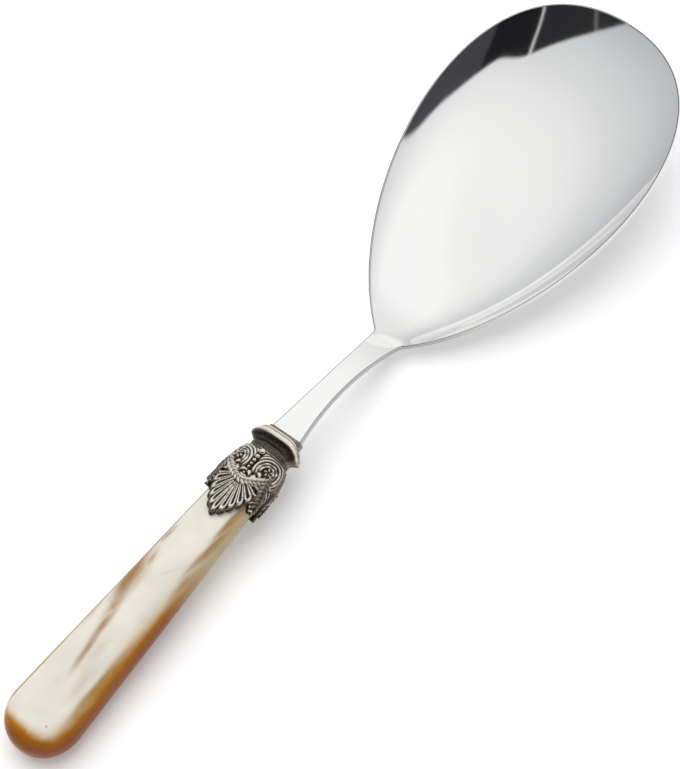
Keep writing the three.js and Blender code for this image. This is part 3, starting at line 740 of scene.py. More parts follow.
@dataclass
class SpoonBlade:
    """One stamped steel sheet: dished bowl, cranked neck and the tang inside the handle."""

    bowl_length: float = 113.4
    shoulder_angle: float = math.radians(51.9)
    shoulder_reach: float = 48.1
    tip_reach: float = 53.9
    bowl_depth: float = 10.0
    deepest_at: float = 50.0
    dish_power: float = 3.6
    rim_tilt: float = math.radians(8.2)
    rim_arch: float = 1.0
    rim_round: float = 0.55
    bowl_thickness: float = 1.6
    neck_length: float = 42.6
    collar_width: float = 10.2
    waist_width: float = 6.9
    heel_width: float = 9.4
    neck_drop: float = 10.06
    neck_start_slope: float = 0.038
    neck_edge_round: float = 0.42
    strip_thickness: float = 2.0
    thickness_run: float = 12.0
    heel_round: float = 0.5
    heel_crease: float = 0.3
    heel_end: float = 20.0
    crease_end: float = 0.3
    tang_length: float = 50.0
    tang_width: float = 6.4
    tang_point: float = 3.0
    root_x: float = 0.05
    # How much painted shade darkens the steel, 0 to 1: dark edge lines, grey strip sides and a grey heel.
    corner_painted_shade: float = 0.85
    neck_corner_share: float = 0.65
    heel_corner_ease: float = 0.65
    side_painted_shade: float = 0.55
    bowl_side_ease: float = 0.8
    heel_side_painted_shade: float = 0.1
    heel_painted_shade: float = 0.15
    far_corner: tuple[float, float] = (-0.3, 0.5)
    # The oval where the neck runs into the bowl, kept out of the heel's painted shade as a painted
    # highlight.
    land_back: float = 1.6
    land_skew: float = 0.45
    land_half_length: float = 2.8
    land_half_width: float = 4.7
    land_edge: tuple[float, float] = (0.85, 1.1)
    # Where the edges and the painted shade change along the blade, in millimetres past the heel.
    rim_span: tuple[float, float] = (-4, 14)
    bowl_span: tuple[float, float] = (-6, 30)
    heel_top_spans: tuple[tuple[float, float], ...] = ((-22, -3), (2, 16))
    heel_side_spans: tuple[tuple[float, float], ...] = ((-1, 3), (12, 45))
    # The mesh.
    neck_rows: int = 96
    bowl_rows: int = 170
    row_crowding: float = 1.25
    columns: int = 120
    edge_columns: int = 5
    outline_steps: int = 4001

    def __post_init__(self) -> None:
        """Works out the heel from the driving sizes."""
        self.rim_slope = math.tan(self.rim_tilt)
        self.heel_z = self.strip_thickness / 2 - self.neck_drop
        fall = self.bowl_depth * self.dish_power / self.deepest_at
        self.heel_slope = self.rim_slope + 4 * self.rim_arch / self.bowl_length - fall
        self.fit = 1.0
        low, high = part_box("spoon_blade")
        fine = np.linspace(0, 1, self.outline_steps)
        self.fit = (high[1] - low[1]) / MM / 2 / self._bezier(fine)[1].max()
        self._outline_x, self._outline_half = self._bezier(fine)

    def _bezier(self, t: np.ndarray) -> tuple[np.ndarray, np.ndarray]:
        """Half of the bowl's egg outline.

        Args:
            t: Shares of the way from the heel's corner to the tip.

        Returns:
            Distances from the heel, and half-widths.
        """
        heel = self.heel_width / 2
        shoulder_x = self.shoulder_reach * math.cos(self.shoulder_angle)
        shoulder_half = heel + self.shoulder_reach * math.sin(self.shoulder_angle)
        b1, b2, b3 = 3 * t * (1 - t) ** 2, 3 * t**2 * (1 - t), t**3
        x = shoulder_x * b1 + self.bowl_length * (b2 + b3)
        half = heel * (1 - t) ** 3 + shoulder_half * b1 + self.tip_reach * b2
        return x, half * (1 + (self.fit - 1) * smooth_step(x, 0, self.bowl_length / 4))

    def _neck_half(self, x: np.ndarray) -> np.ndarray:
        """Half-width of the neck, waisted between the collar and the heel."""
        t = x / self.neck_length
        return 0.5 * (self.collar_width * (1 - t) * (1 - 2 * t)
                      + 4 * self.waist_width * t * (1 - t) + self.heel_width * t * (2 * t - 1))

    def _neck_top(self, x: np.ndarray) -> np.ndarray:
        """Upper face of the neck, which goes on straight past the heel.

        Args:
            x: Places along the bench.

        Returns:
            Heights of the face.
        """
        t = np.minimum(x / self.neck_length, 1)
        collar = 2 * t**3 - 3 * t**2 + 1
        slopes = ((t**3 - 2 * t**2 + t) * self.neck_start_slope + (t**3 - t**2) * self.heel_slope)
        past = np.maximum(x - self.neck_length, 0) * self.heel_slope
        return (collar * self.strip_thickness / 2 + (1 - collar) * self.heel_z
                + slopes * self.neck_length + past)

    def _share(self, x: np.ndarray, across: np.ndarray) -> np.ndarray:
        """Distance from the bowl's deepest point as a share of the way to the rim.

        Args:
            x: Distances from the heel.
            across: Shares of the half-width, -1 to 1.

        Returns:
            The shares, 1 at the rim.
        """
        reach = np.where(x < self.deepest_at, self.deepest_at, self.bowl_length - self.deepest_at)
        along = np.clip((x - self.deepest_at) / reach, -1, 1)
        return np.sqrt(along**2 + (1 - along**2) * np.clip(across, -1, 1) ** 2)

    def _top(self, x: np.ndarray, y: np.ndarray) -> tuple[np.ndarray, np.ndarray]:
        """Upper face of the sheet and its upright thickness.

        Args:
            x: Places along the bench.
            y: Places across it.

        Returns:
            Heights of the upper face, and thicknesses.
        """
        bowl_x = x - self.neck_length
        inside = np.clip(bowl_x, 0, self.bowl_length)
        half = np.maximum(np.interp(inside, self._outline_x, self._outline_half), 1e-6)
        share = self._share(inside, np.where(half > 1e-5, y / half, 1))
        part = inside / self.bowl_length
        rim = self.heel_z + self.rim_slope * bowl_x + 4 * self.rim_arch * part * (1 - part)
        bowl = rim - self.bowl_depth * (1 - share**self.dish_power)
        top = np.where(bowl_x > self.crease_end * self.bowl_length, bowl,
                       soft_max(bowl, self._neck_top(x), self.heel_crease))
        widest = self._outline_half.max()
        wall = self.bowl_depth * self.dish_power / widest * share ** (self.dish_power - 1)
        bowl_thick = self.bowl_thickness * np.hypot(1, wall)
        heel_thick = self.bowl_thickness * math.hypot(1, self.heel_slope)
        neck_thick = self.strip_thickness + (heel_thick - self.strip_thickness) * np.clip(
            x / self.neck_length, 0, 1) ** 2
        into_bowl = smooth_step(bowl_x, 0, self.thickness_run)
        return top, neck_thick + (bowl_thick - neck_thick) * into_bowl

    def _outline(self) -> np.ndarray:
        """Plan outline of the neck and bowl on one side, from the collar to the tip.

        Returns:
            Rows of place along the bench, half-width, and the outline's normal in plan.
        """
        neck = np.linspace(self.root_x, self.neck_length, self.neck_rows, endpoint=False)
        bowl_x, bowl_half = self._bezier(np.linspace(0, 1, self.bowl_rows) ** self.row_crowding)
        x = np.concatenate([neck, self.neck_length + bowl_x])
        past = x - self.neck_length
        heel_rate = (self._neck_half(np.array([self.neck_length]))
                     - self._neck_half(np.array([self.neck_length - 0.1])))[0] / 0.1
        neck_half = np.where(past < 0, self._neck_half(x), self.heel_width / 2 + heel_rate * past)
        spread = self.heel_width / 2 + math.tan(self.shoulder_angle) * past
        bowl_side = np.concatenate([spread[:self.neck_rows], bowl_half])
        half = np.where(past < self.heel_end, soft_max(neck_half, bowl_side, self.heel_round), bowl_side)
        dx, dh = np.gradient(x), np.gradient(half)
        length = np.hypot(dx, dh)
        normal_x, normal_y = -dh / length, dx / length
        normal_x[-1], normal_y[-1], half[-1] = 1.0, 0.0, 0.0
        return np.column_stack([x, half, normal_x, normal_y])

    def _ring(self, row: np.ndarray) -> np.ndarray:
        """One closed section of the sheet with rounded edges.

        Args:
            row: Place along the bench, half-width, and the outline's normal in plan.

        Returns:
            Points once round the section.
        """
        x, half, normal_x, normal_y = row
        into_rim = float(smooth_step(x - self.neck_length, *self.rim_span))
        bevel = self.neck_edge_round + (self.rim_round - self.neck_edge_round) * into_rim
        inner_x = x - bevel * normal_x
        inner_half = max(half - bevel * normal_y, 0)
        across = np.sin(np.linspace(-1, 1, self.columns) * math.pi / 2)
        y = inner_half * across
        top, thick = self._top(np.full_like(y, inner_x), y)
        upper = np.column_stack([np.full_like(y, inner_x), y, top])
        lower = np.column_stack([np.full_like(y, inner_x), y, top - thick])[::-1]
        rim_z, rim_thick = self._top(np.array([x]), np.array([half]))
        rim_top, rim_low = rim_z[0], rim_z[0] - rim_thick[0]
        bend = np.linspace(0, 1, self.edge_columns + 1)[1:, None]
        edges = []
        for hand in (Hand.RIGHT, Hand.LEFT):
            side = hand.value
            start = upper[-1] if hand is Hand.LEFT else upper[0]
            finish = lower[0] if hand is Hand.LEFT else lower[-1]
            top_corner = np.array([x, side * half, rim_top])
            low_corner = np.array([x, side * half, rim_low])
            top_end = top_corner - [0, 0, bevel]
            low_end = low_corner + [0, 0, bevel]
            fall = (1 - bend) ** 2 * start + 2 * bend * (1 - bend) * top_corner + bend**2 * top_end
            tuck = (1 - bend) ** 2 * finish + 2 * bend * (1 - bend) * low_corner + bend**2 * low_end
            edges.append(np.vstack([fall, tuck[::-1]]))
        right, left = edges
        return np.vstack([upper, left, lower, right[::-1]])

    def _shade(self, ring: np.ndarray) -> np.ndarray:
        """Painted shade round a section, 0 to 1: dark edge lines, grey strip sides and a grey heel.

        The oval where the neck runs into the bowl is kept out of it, as a painted highlight.

        Args:
            ring: Points once round the section.

        Returns:
            The dullness of each point.
        """
        x, y = ring[:self.columns, 0] - self.neck_length, ring[:self.columns, 1]
        land = np.hypot((x + self.land_back + self.land_skew * y) / self.land_half_length,
                        y / self.land_half_width)
        # Painted shade on the neck's top by the heel, with the oval left bright.
        on_top = self.heel_painted_shade * between(x, *self.heel_top_spans) * smooth_step(land, *self.land_edge)
        past = float(smooth_step(x[0], *self.bowl_span))
        by_heel = float(between(x[0], *self.heel_side_spans))
        # Painted dark lines along the top edges, fainter on the neck than on the bowl.
        painted_edge_line = self.corner_painted_shade * (self.neck_corner_share + (1 - self.neck_corner_share) * past)
        on_top[[0, -1]] = painted_edge_line
        # Painted dark reflection on the far rounded edge, and painted shade on the near strip side,
        # deeper by the heel.
        far = np.concatenate([smooth_step(np.linspace(0, 1, self.edge_columns), *self.far_corner),
                              np.zeros(self.edge_columns)])
        near = np.full(2 * self.edge_columns, self.side_painted_shade * (1 - self.bowl_side_ease * past)
                       + self.heel_side_painted_shade * by_heel)
        near[0] = on_top[0] = painted_edge_line * (1 - self.heel_corner_ease * by_heel)
        return np.concatenate([on_top, far, np.zeros(self.columns), near[::-1]])

    def build(self, finish: bpy.types.Material) -> None:
        """Makes the blade and seats it.

        Args:
            finish: The steel.
        """
        rings = [self._ring(row) for row in self._outline()]
        size = len(rings[0])
        points = np.vstack(rings)
        faces: list[tuple[int, ...]] = ring_faces(len(rings), size)
        faces.append(tuple(range(size)))
        faces.append(tuple(range(len(points) - size, len(points))))
        tang_half, top = self.tang_width / 2, self.strip_thickness / 2
        shoulder = self.tang_point - self.tang_length
        one_side = [(self.root_x, tang_half), (shoulder, tang_half), (-self.tang_length, tang_half / 2)]
        plan = one_side + [(x, -y) for x, y in reversed(one_side)]
        tang = [(x, y, z) for z in (top, -top) for x, y in plan]
        base, corners = len(points), len(plan)
        faces += [tuple(base + i for i in range(corners)),
                  tuple(base + corners + i for i in reversed(range(corners)))]
        for i in range(corners):
            j = (i + 1) % corners
            faces.append((base + i, base + corners + i, base + corners + j, base + j))
        # The steel's painted shade, kept on the points as the corner attribute.
        corner = np.concatenate([*[self._shade(ring) for ring in rings], np.zeros(len(tang))])
        piece = mesh_piece("blade_polished", np.vstack([points, tang]), faces, finish,
                           {"corner": corner})
        seat_piece(piece, "polished_steel", "spoon_blade")


@dataclass
class Handle:
    """The moulded pearl handle, a squared-off oval that swells to a round end."""

    front_x: float = -11.5
    length: float = 102.5
    end_width: float = 22.4
    end_thickness: float = 13.2
    front_width: float = 13.1
    front_thickness: float = 7.7
    end_round: float = 12.0
    inset: float = 0.02
    squareness: float = 2.5
    bore_half_width: float = 4.8
    bore_half_height: float = 2.3
    bore_end_x: float = -51.3
    bore_squareness: float = 4.0
    pearl_level: tuple[tuple[float, float], ...] = (
        (0, 0.62), (0.12, 0.66), (0.5, 0.60), (0.85, 0.50), (1, 0.45))
    far_drop: float = 1.9
    far_span: tuple[float, float] = (0.0, 5.0)
    end_band: float = 4.2
    end_bow: float = 0.02
    end_rate: float = 0.9
    amber_blend: float = 1.0
    edge_smoke: float = 1.3
    edge_span: tuple[float, float] = (0.80, 0.88)
    # Each veil: middle along and across, half-length, half-width, skew and strength.
    veils: tuple[tuple[float, ...], ...] = (
        (-58.5, 6.4, 10.5, 3.4, 0.10, 1.4), (-66.5, 4.4, 7.5, 2.2, 0.12, 1.1),
        (-74.0, 2.3, 8.5, 1.4, 0.09, 1.0), (-80.0, 1.4, 12.0, 1.3, 0.13, 0.9),
        (-80.0, -1.2, 9.0, 3.0, 0.10, 0.42), (-89.0, -4.5, 9.0, 2.8, 0.0, 0.5),
        (-94.0, 0.5, 8.0, 5.0, 0.0, 0.28), (-70.0, 8.2, 9.0, 1.2, 0.02, 0.9),
        (-51.5, 4.8, 4.0, 1.1, 0.15, 0.9), (-42.5, 6.0, 4.0, 0.9, -0.1, 0.9),
        (-50.2, -3.0, 4.0, 0.5, -0.66, 0.5), (-37.5, -6.6, 12.0, 1.1, -0.05, 2.0),
        (-30.0, -5.8, 8.0, 1.0, -0.05, 1.8), (-49.0, -7.2, 8.0, 1.3, -0.03, 1.3),
        (-89.0, -8.4, 14.0, 1.6, 0.03, 1.6), (-105.6, -4.8, 0.4, 0.3, 0.0, 1.4))
    rows: int = 150
    end_rows: int = 48
    columns: int = 176

    def __post_init__(self) -> None:
        """Works out where the end begins to round."""
        self.end_x = self.front_x - self.length + self.inset
        self.round_x = self.end_x + self.end_round

    def half_size(self, x: np.ndarray) -> tuple[np.ndarray, np.ndarray]:
        """Half-width and half-thickness of the handle.

        Args:
            x: Places along the bench.

        Returns:
            The half-widths and half-thicknesses.
        """
        share = (np.maximum(x, self.round_x) - self.round_x) / (self.front_x - self.round_x)
        back = np.clip((self.round_x - x) / self.end_round, 0, 1)
        width = self.end_width + (self.front_width - self.end_width) * share
        thickness = self.end_thickness + (self.front_thickness - self.end_thickness) * share
        return width / 2 * np.sqrt(1 - back**2), thickness / 2 * np.sqrt(1 - back**4)

    def _amber_depth(self, x: np.ndarray, y: np.ndarray, z: np.ndarray) -> np.ndarray:
        """How far points lie past the pearl's edge into the amber.

        Args:
            x: Places along the bench.
            y: Places across it.
            z: Heights.

        Returns:
            The depths, in millimetres.
        """
        _, half_thickness = self.half_size(np.maximum(x, self.round_x))
        level = np.interp((x - self.end_x) / self.length, *np.transpose(self.pearl_level))
        sides = level * half_thickness - z - self.far_drop * smooth_step(y, *self.far_span)
        end = (self.end_x + self.end_band + self.end_bow * y**2 - x) * self.end_rate
        return soft_max(sides, end, self.amber_blend)

    def _smoke(self, x: np.ndarray, y: np.ndarray) -> np.ndarray:
        """Brown veils under the pearl, long patches along the handle and a line at its far edge.

        Args:
            x: Places along the bench.
            y: Places across it.

        Returns:
            The strength of the veils.
        """
        half_width, _ = self.half_size(np.maximum(x, self.round_x))
        smoke = self.edge_smoke * smooth_step(y / half_width, *self.edge_span)
        for middle_x, middle_y, length, width, skew, strength in self.veils:
            along = (x - middle_x) / length
            across = (y - middle_y - skew * (x - middle_x)) / width
            smoke = np.maximum(smoke, strength * np.exp(-along**2 - across**2))
        return smoke

    def build(self, finish: bpy.types.Material) -> None:
        """Makes the handle and seats it.

        Args:
            finish: The pearl acrylic.
        """
        turn = np.linspace(0, math.pi / 2, self.end_rows)[1:]
        x = np.concatenate([self.round_x - self.end_round * np.cos(turn),
                            np.linspace(self.round_x, self.front_x, self.rows)[1:]])
        half_width, half_thickness = self.half_size(x)
        turns = even_turns(self.end_width / 2, self.end_thickness / 2, self.squareness, self.columns)
        side, up = oval(turns, self.squareness)
        rings = [np.column_stack([np.full_like(side, a), w * side, t * up])
                 for a, w, t in zip(x, half_width, half_thickness)]
        bore_side, bore_up = oval(turns, self.bore_squareness)
        bore = [np.column_stack([np.full_like(side, a), self.bore_half_width * bore_side,
                                 self.bore_half_height * bore_up])
                for a in (self.front_x, self.bore_end_x)]
        pole = np.array([[self.end_x, 0.0, 0.0]])
        points = np.vstack([*rings, *bore, pole])
        count = len(rings) + len(bore)
        faces: list[tuple[int, ...]] = ring_faces(count, self.columns)
        last = (count - 1) * self.columns
        faces.append(tuple(range(last, last + self.columns)))
        for i in range(self.columns):
            faces.append((len(points) - 1, (i + 1) % self.columns, i))
        marks = {"amber_depth": self._amber_depth(*points.T),
                 "smoke": self._smoke(points[:, 0], points[:, 1]) * (points[:, 2] > 0)}
        piece = mesh_piece("handle_pearl", points, faces, finish, marks)
        seat_piece(piece, "pearl_acrylic", "handle")


@dataclass
class Ferrule:
    """The cast pewter ferrule: collar, cove, scrolled barrel, palmettes and side leaves.

    Its relief is drawn on the unrolled surface: down runs from the collar's face towards the
    handle, and round is the distance round the section from the middle of the nearer face.
    """

    handle: Handle
    # The plain casting: half-widths and half-heights of the collar at distances from its face.
    collar_side: tuple[tuple[float, float], ...] = (
        (0.0, 5.7), (0.8, 5.8), (1.0, 6.5), (1.6, 7.4), (2.6, 8.2), (3.3, 8.3), (4.0, 7.5), (5.2, 6.4),
        (6.4, 6.3), (8.4, 6.7))
    collar_top: tuple[tuple[float, float], ...] = (
        (0.0, 1.9), (0.8, 2.0), (0.95, 3.7), (1.4, 4.3), (2.6, 4.6), (3.3, 4.5), (3.6, 3.6), (4.8, 2.9),
        (6.0, 3.9), (6.8, 4.5), (8.4, 4.69))
    collar_squareness: float = 4.0
    collar_sweep: float = 2.2
    barrel_length: float = 19.5
    belly_bulge: float = 0.5
    squareness: float = 2.2
    wall: float = 1.2
    lip: float = 0.6
    lip_bulge: float = 0.12
    leaf_start: float = 1.5
    # The hollow: half-widths and half-heights of the tang's slot and of the chamber behind it.
    socket_depth: float = 8.0
    seat_gap: float = 0.03
    slot_squareness: float = 5.0
    slot_end: float = 5.2
    slot_half: tuple[float, float] = (3.5, 1.3)
    chamber_half: tuple[float, float] = (4.8, 2.8)
    chamber_gap: float = 0.3
    # The relief, with grooves round the collar and the front of the barrel.
    relief: float = 0.55
    groove_lines: tuple[float, ...] = (1.75, 6.5, 7.1, 7.7)
    groove_depth: float = 0.16
    groove_half: float = 0.16
    # The palmette, in shares of its length and of its lobes' half-width.
    palmette_root: float = 17.2
    palmette_length: float = 14.1
    palmette_reach: float = 8.3
    palmette_point: float = 1.35
    palmette_lobes: int = 11
    palmette_spread: float = math.radians(86)
    palmette_growth: tuple[float, float] = (0.08, 0.35)
    root_overlap: float = 0.05
    scallop: float = 0.055
    lobe_tip_at: float = 0.82
    lobe_tip_length: float = 0.17
    lobe_rim_at: float = 0.62
    lobe_rim_half: float = 0.34
    flute_half: float = 0.4
    flute_rise: float = 0.25
    border_at: float = 0.985
    border_half: float = 0.05
    border_rise: float = 0.22
    # The crimped leaf at each side.
    tail_end: float = 25.2
    tail_round: float = 8.5
    tail_reach: float = 2.2
    tail_start: tuple[float, float] = (15.5, 17.5)
    crimp_pitch: float = 1.6
    crimp_slant: float = 1.1
    crimp_depth: float = 0.4
    # The scrolls; each line has its distance from the spiral, its first and last angle and its rise.
    scroll_down: float = 13.2
    scroll_round: float = 5.4
    scroll_start_radius: float = 4.3
    scroll_end_radius: float = 2.6
    scroll_start: float = -2.2
    scroll_end: float = 3.0
    scroll_lines: tuple[tuple[float, float, float, float], ...] = (
        (-1.8, -2.2, 2.0, 0.9), (-0.95, -2.4, 2.5, 0.95), (0.0, -2.3, 2.9, 1.0),
        (0.95, -1.9, 2.8, 0.95), (1.85, -1.7, 2.6, 0.8), (2.7, -0.9, 2.4, 0.7), (3.5, -0.3, 2.2, 0.65),
        (4.3, 0.1, 2.0, 0.6), (5.1, 0.4, 1.9, 0.55))
    scroll_line_half: float = 0.4
    scroll_line_fade: tuple[float, float] = (0.3, 0.4)
    scroll_lobes: float = 7.0
    scroll_lobe_depth: float = 0.2
    scroll_spans: tuple[tuple[float, float], ...] = ((8.5, 9.1), (18.9, 19.7))
    # The leaf curls: distance down and round of each, and its radius.
    curl_places: tuple[tuple[float, float, float], ...] = (
        (13.1, 5.3, 0.75), (17.7, 1.7, 1.4), (16.6, 4.4, 1.4), (15.4, 7.4, 1.3))
    curl_lobes: float = 5.0
    curl_half: float = 0.75
    curl_lobe_depth: float = 0.55
    curl_twist: float = 1.5
    curl_rise: float = 0.85
    # The beads and garlands, at distances down and round.
    bead_start: float = 9.1
    bead_end: float = 17.0
    bead_lift: float = 0.35
    bead_gutter: tuple[float, float] = (0.85, 1.15)
    garland_lift: float = 0.55
    swag_half: tuple[tuple[float, float], ...] = (
        (15.1, 6.9), (16.3, 5.6), (17.7, 3.6), (18.8, 1.6), (19.1, 0.0))
    sprig: tuple[tuple[float, float], ...] = (
        (15.3, 6.9), (17.5, 7.2), (19.6, 7.7), (21.0, 8.1), (22.0, 8.3))
    # How bright the casting is rubbed, with painted shade on its sides and in the cove and a painted
    # highlight on the faces of the collar's band.
    flat_wear: float = 0.33
    crest_wear: float = 0.75
    height_wear: float = 0.45
    collar_wear: float = 0.47
    # The band's rubbed brightness all round, and its painted highlight on the faces.
    band_wear_and_highlight: tuple[float, float] = (0.1, 0.26)
    band_end: float = 3.3
    band_spans: tuple[tuple[float, float], ...] = ((0.9, 1.4), (3.0, 3.5))
    # Painted shade in the cove under the band.
    cove_painted_shade: float = 0.3
    cove_spans: tuple[tuple[float, float], ...] = ((3.2, 3.8), (5.3, 6.6))
    groove_dark: float = 0.35
    groove_dark_half: float = 0.18
    inner_wear: float = 0.15
    wear_reaches: tuple[int, ...] = (2, 4, 8)
    # Painted shade where the casting and its garlands turn to the spoon's sides.
    side_painted_shade: float = 0.48
    side_span: tuple[float, float] = (4.5, 8.3)
    # The mesh.
    columns: int = 400
    collar_rows: int = 66
    barrel_rows: int = 74
    leaf_rows: int = 86
    path_points: int = 24
    edge_steps: int = 1601

    def __post_init__(self) -> None:
        """Works out the shared places along the ferrule."""
        self.belly_start = self.collar_side[-1][0]
        width, height = self.handle.half_size(np.array([-self.barrel_length]))
        self.mouth_width, self.mouth_height = width[0] + self.wall, height[0] + self.wall
        self.turns = even_turns(self.mouth_width, self.mouth_height, self.squareness, self.columns)

    def profile(self, down: np.ndarray) -> tuple[np.ndarray, np.ndarray, np.ndarray]:
        """Section of the plain casting: collar, cove, belly, and leaf over the handle.

        Args:
            down: Distances from the ferrule's front.

        Returns:
            The half-widths, half-heights and squareness.
        """
        collar_width, collar_height = (
            np.interp(down, *round_corners(line).T) for line in (self.collar_side, self.collar_top))
        b = np.clip((down - self.belly_start) / (self.barrel_length - self.belly_start), 0, 1)
        swell, ease = self.belly_bulge * np.sin(math.pi * b), np.sin(math.pi / 2 * b)
        start_width, start_height = self.collar_side[-1][1], self.collar_top[-1][1]
        belly_width = start_width + (self.mouth_width - start_width) * ease + swell
        belly_height = start_height + (self.mouth_height - start_height) * ease + swell
        leaf_width, leaf_height = self.handle.half_size(-down)
        zones = [down <= self.belly_start, down <= self.barrel_length]
        width = np.select(zones, [collar_width, belly_width], leaf_width + self.wall)
        height = np.select(zones, [collar_height, belly_height], leaf_height + self.wall)
        to_belly = smooth_step(down, self.band_end, self.belly_start)
        to_handle = smooth_step(down, self.belly_start, self.barrel_length)
        power = (self.collar_squareness + (self.squareness - self.collar_squareness) * to_belly
                 + (self.handle.squareness - self.squareness) * to_handle)
        return width, height, power

    def _swept(self, down: np.ndarray) -> np.ndarray:
        """Distances on the collar's own profile, whose ends sweep back towards the handle."""
        hump = np.sin(math.pi * np.clip(down / self.belly_start, 0, 1))
        return down - self.collar_sweep * hump * np.sin(self.turns) ** 2

    def _section(self, down: np.ndarray) -> np.ndarray:
        """Points of the plain casting, one row of the grid for each row of distances.

        Args:
            down: Distances from the ferrule's front, rows by columns.

        Returns:
            Points, rows by columns by three.
        """
        width, height, power = self.profile(self._swept(down))
        side, up = np.sin(self.turns), np.cos(self.turns)
        y = width * np.sign(side) * np.abs(side) ** (2 / power)
        z = height * np.sign(up) * np.abs(up) ** (2 / power)
        return np.stack([-down, y, z], axis=-1)

    def _round(self, points: np.ndarray) -> tuple[np.ndarray, np.ndarray]:
        """Distance round each section from the middle of the nearer face.

        Args:
            points: Grid of points.

        Returns:
            Signed distances, and each row's distance from face to side.
        """
        steps = np.linalg.norm(np.roll(points, -1, axis=1)[..., 1:] - points[..., 1:], axis=-1)
        run = np.cumsum(steps, axis=1) - steps
        whole = steps.sum(axis=1, keepdims=True)
        signed = np.where(run > whole / 2, run - whole, run)
        near = np.minimum(np.abs(signed), whole / 2 - np.abs(signed))
        return np.sign(signed) * near, np.broadcast_to(whole / 4, near.shape)

    def _edge(self, distance: np.ndarray, quarter: np.ndarray) -> np.ndarray:
        """Where the ferrule ends over the handle: palmette, notch, and side tail.

        Args:
            distance: Distances round from the middle of the nearer face.
            quarter: Distances from face to side.

        Returns:
            Distances from the collar's face.
        """
        angle = np.linspace(-math.pi / 2, math.pi / 2, self.edge_steps)
        reach = self._lobe_edge(angle) / self._spread(np.cos(angle), np.sin(angle))
        at = np.maximum.accumulate(self.palmette_reach * reach * np.sin(angle))
        fan = self.palmette_root + self.palmette_length * reach * np.cos(angle)
        palmette = np.interp(distance, at, fan, left=0, right=0)
        from_rib = np.minimum(np.abs(distance), quarter) - self.tail_round
        tail_length = (self.tail_end - self.barrel_length) * ridge(from_rib, self.tail_reach)
        return self.barrel_length + np.maximum(
            np.maximum(palmette - self.barrel_length, tail_length), self.lip)

    def _lobe_edge(self, angle: np.ndarray) -> np.ndarray:
        """Reach of the palmette's scalloped edge at an angle from its axis, about 1."""
        return 1 - self.scallop + 2 * self.scallop * ridge(self._lobe_place(angle), 1)

    def _lobe_place(self, angle: np.ndarray) -> np.ndarray:
        """Place across the palmette's lobe at an angle from its axis, -1 to 1."""
        step = 2 * self.palmette_spread / self.palmette_lobes
        return np.mod(angle + self.palmette_spread, step) / step * 2 - 1

    def _spread(self, along: np.ndarray, across: np.ndarray) -> np.ndarray:
        """Distance from the palmette's root, measured so that its pointed outline lies at 1."""
        power = self.palmette_point
        return (np.abs(along) ** power + np.abs(across) ** power) ** (1 / power)

    def _palmette_relief(self, down: np.ndarray, distance: np.ndarray) -> np.ndarray:
        """Fluted lobes with raised rims, fanned from the palmette's root.

        Args:
            down: Distances from the collar's face.
            distance: Distances round from the middle of the face.

        Returns:
            Heights in millimetres.
        """
        u = (down - self.palmette_root) / self.palmette_length
        v = distance / self.palmette_reach
        share, angle = self._spread(u, v), np.arctan2(v, u)
        tip = np.clip((share - self.lobe_tip_at) / self.lobe_tip_length, 0, None)
        side = np.hypot(self._lobe_place(angle), tip)
        rim = ridge(side - self.lobe_rim_at, self.lobe_rim_half)
        flute = self.flute_rise * np.clip(1 - (side / self.flute_half) ** 2, 0, 1)
        border = self.border_rise * ridge(share - self.border_at, self.border_half)
        grown = smooth_step(share, *self.palmette_growth) * (np.abs(angle) < self.palmette_spread)
        return grown * (u > -self.root_overlap) * self.relief * np.maximum(rim, np.maximum(flute, border))

    def _scroll_relief(self, down: np.ndarray, distance: np.ndarray) -> np.ndarray:
        """Volutes either side of the middle, with lines that echo them.

        Args:
            down: Distances from the collar's face.
            distance: Distances round from the middle of the face.

        Returns:
            Heights in millimetres.
        """
        away = np.abs(distance) - self.scroll_round
        radius = np.hypot(down - self.scroll_down, away)
        angle = np.arctan2(away, self.scroll_down - down)
        tightening = math.log(self.scroll_start_radius / self.scroll_end_radius) / (
            self.scroll_end - self.scroll_start)
        path = self.scroll_start_radius * np.exp(-tightening * (angle - self.scroll_start))
        height = np.zeros_like(radius)
        fade_in, fade_out = self.scroll_line_fade
        for offset, low, high, rise in self.scroll_lines:
            fade = between(angle, (low, low + fade_in), (high - fade_out, high))
            line = ridge(radius - path - offset, self.scroll_line_half)
            if offset < 0:
                lobes = np.cos(self.scroll_lobes * angle + offset)
                line = line * (1 - self.scroll_lobe_depth * (1 - lobes))
            height = np.maximum(height, line * fade * self.relief * rise)
        height = height * smooth_step(np.abs(distance), *self.bead_gutter)
        for curl_down, curl_round, curl_radius in self.curl_places:
            aside = np.abs(distance) - curl_round
            reach = np.hypot(down - curl_down, aside) / curl_radius
            turned = np.arctan2(aside, curl_down - down)
            lobes = np.cos(self.curl_lobes * turned + self.curl_twist * reach)
            curl = ridge(reach - 1, self.curl_half) * (1 - self.curl_lobe_depth * (1 - lobes))
            height = np.maximum(height, self.curl_rise * self.relief * curl)
        return height

    def _relief(self, down: np.ndarray, distance: np.ndarray, quarter: np.ndarray) -> np.ndarray:
        """Height of all the cast ornament over the plain casting.

        Args:
            down: Distances from the collar's face.
            distance: Distances round from the middle of the nearer face.
            quarter: Distances from face to side.

        Returns:
            Heights in millimetres.
        """
        height = self._scroll_relief(down, distance) * between(down, *self.scroll_spans)
        height = np.maximum(height, self._palmette_relief(down, distance))
        from_rib = np.abs(np.minimum(np.abs(distance), quarter) - self.tail_round)
        tail = smooth_step(down, *self.tail_start) * ridge(from_rib, self.tail_reach)
        waves = np.cos(2 * math.pi * (down - self.crimp_slant * from_rib) / self.crimp_pitch)
        height = np.maximum(height, tail * (1 - self.crimp_depth * (1 - waves)) * self.relief)
        for line in self.groove_lines:
            from_line = (self._swept(down) - line) / self.groove_half
            height = height - self.groove_depth * np.exp(-from_line**2)
        return height

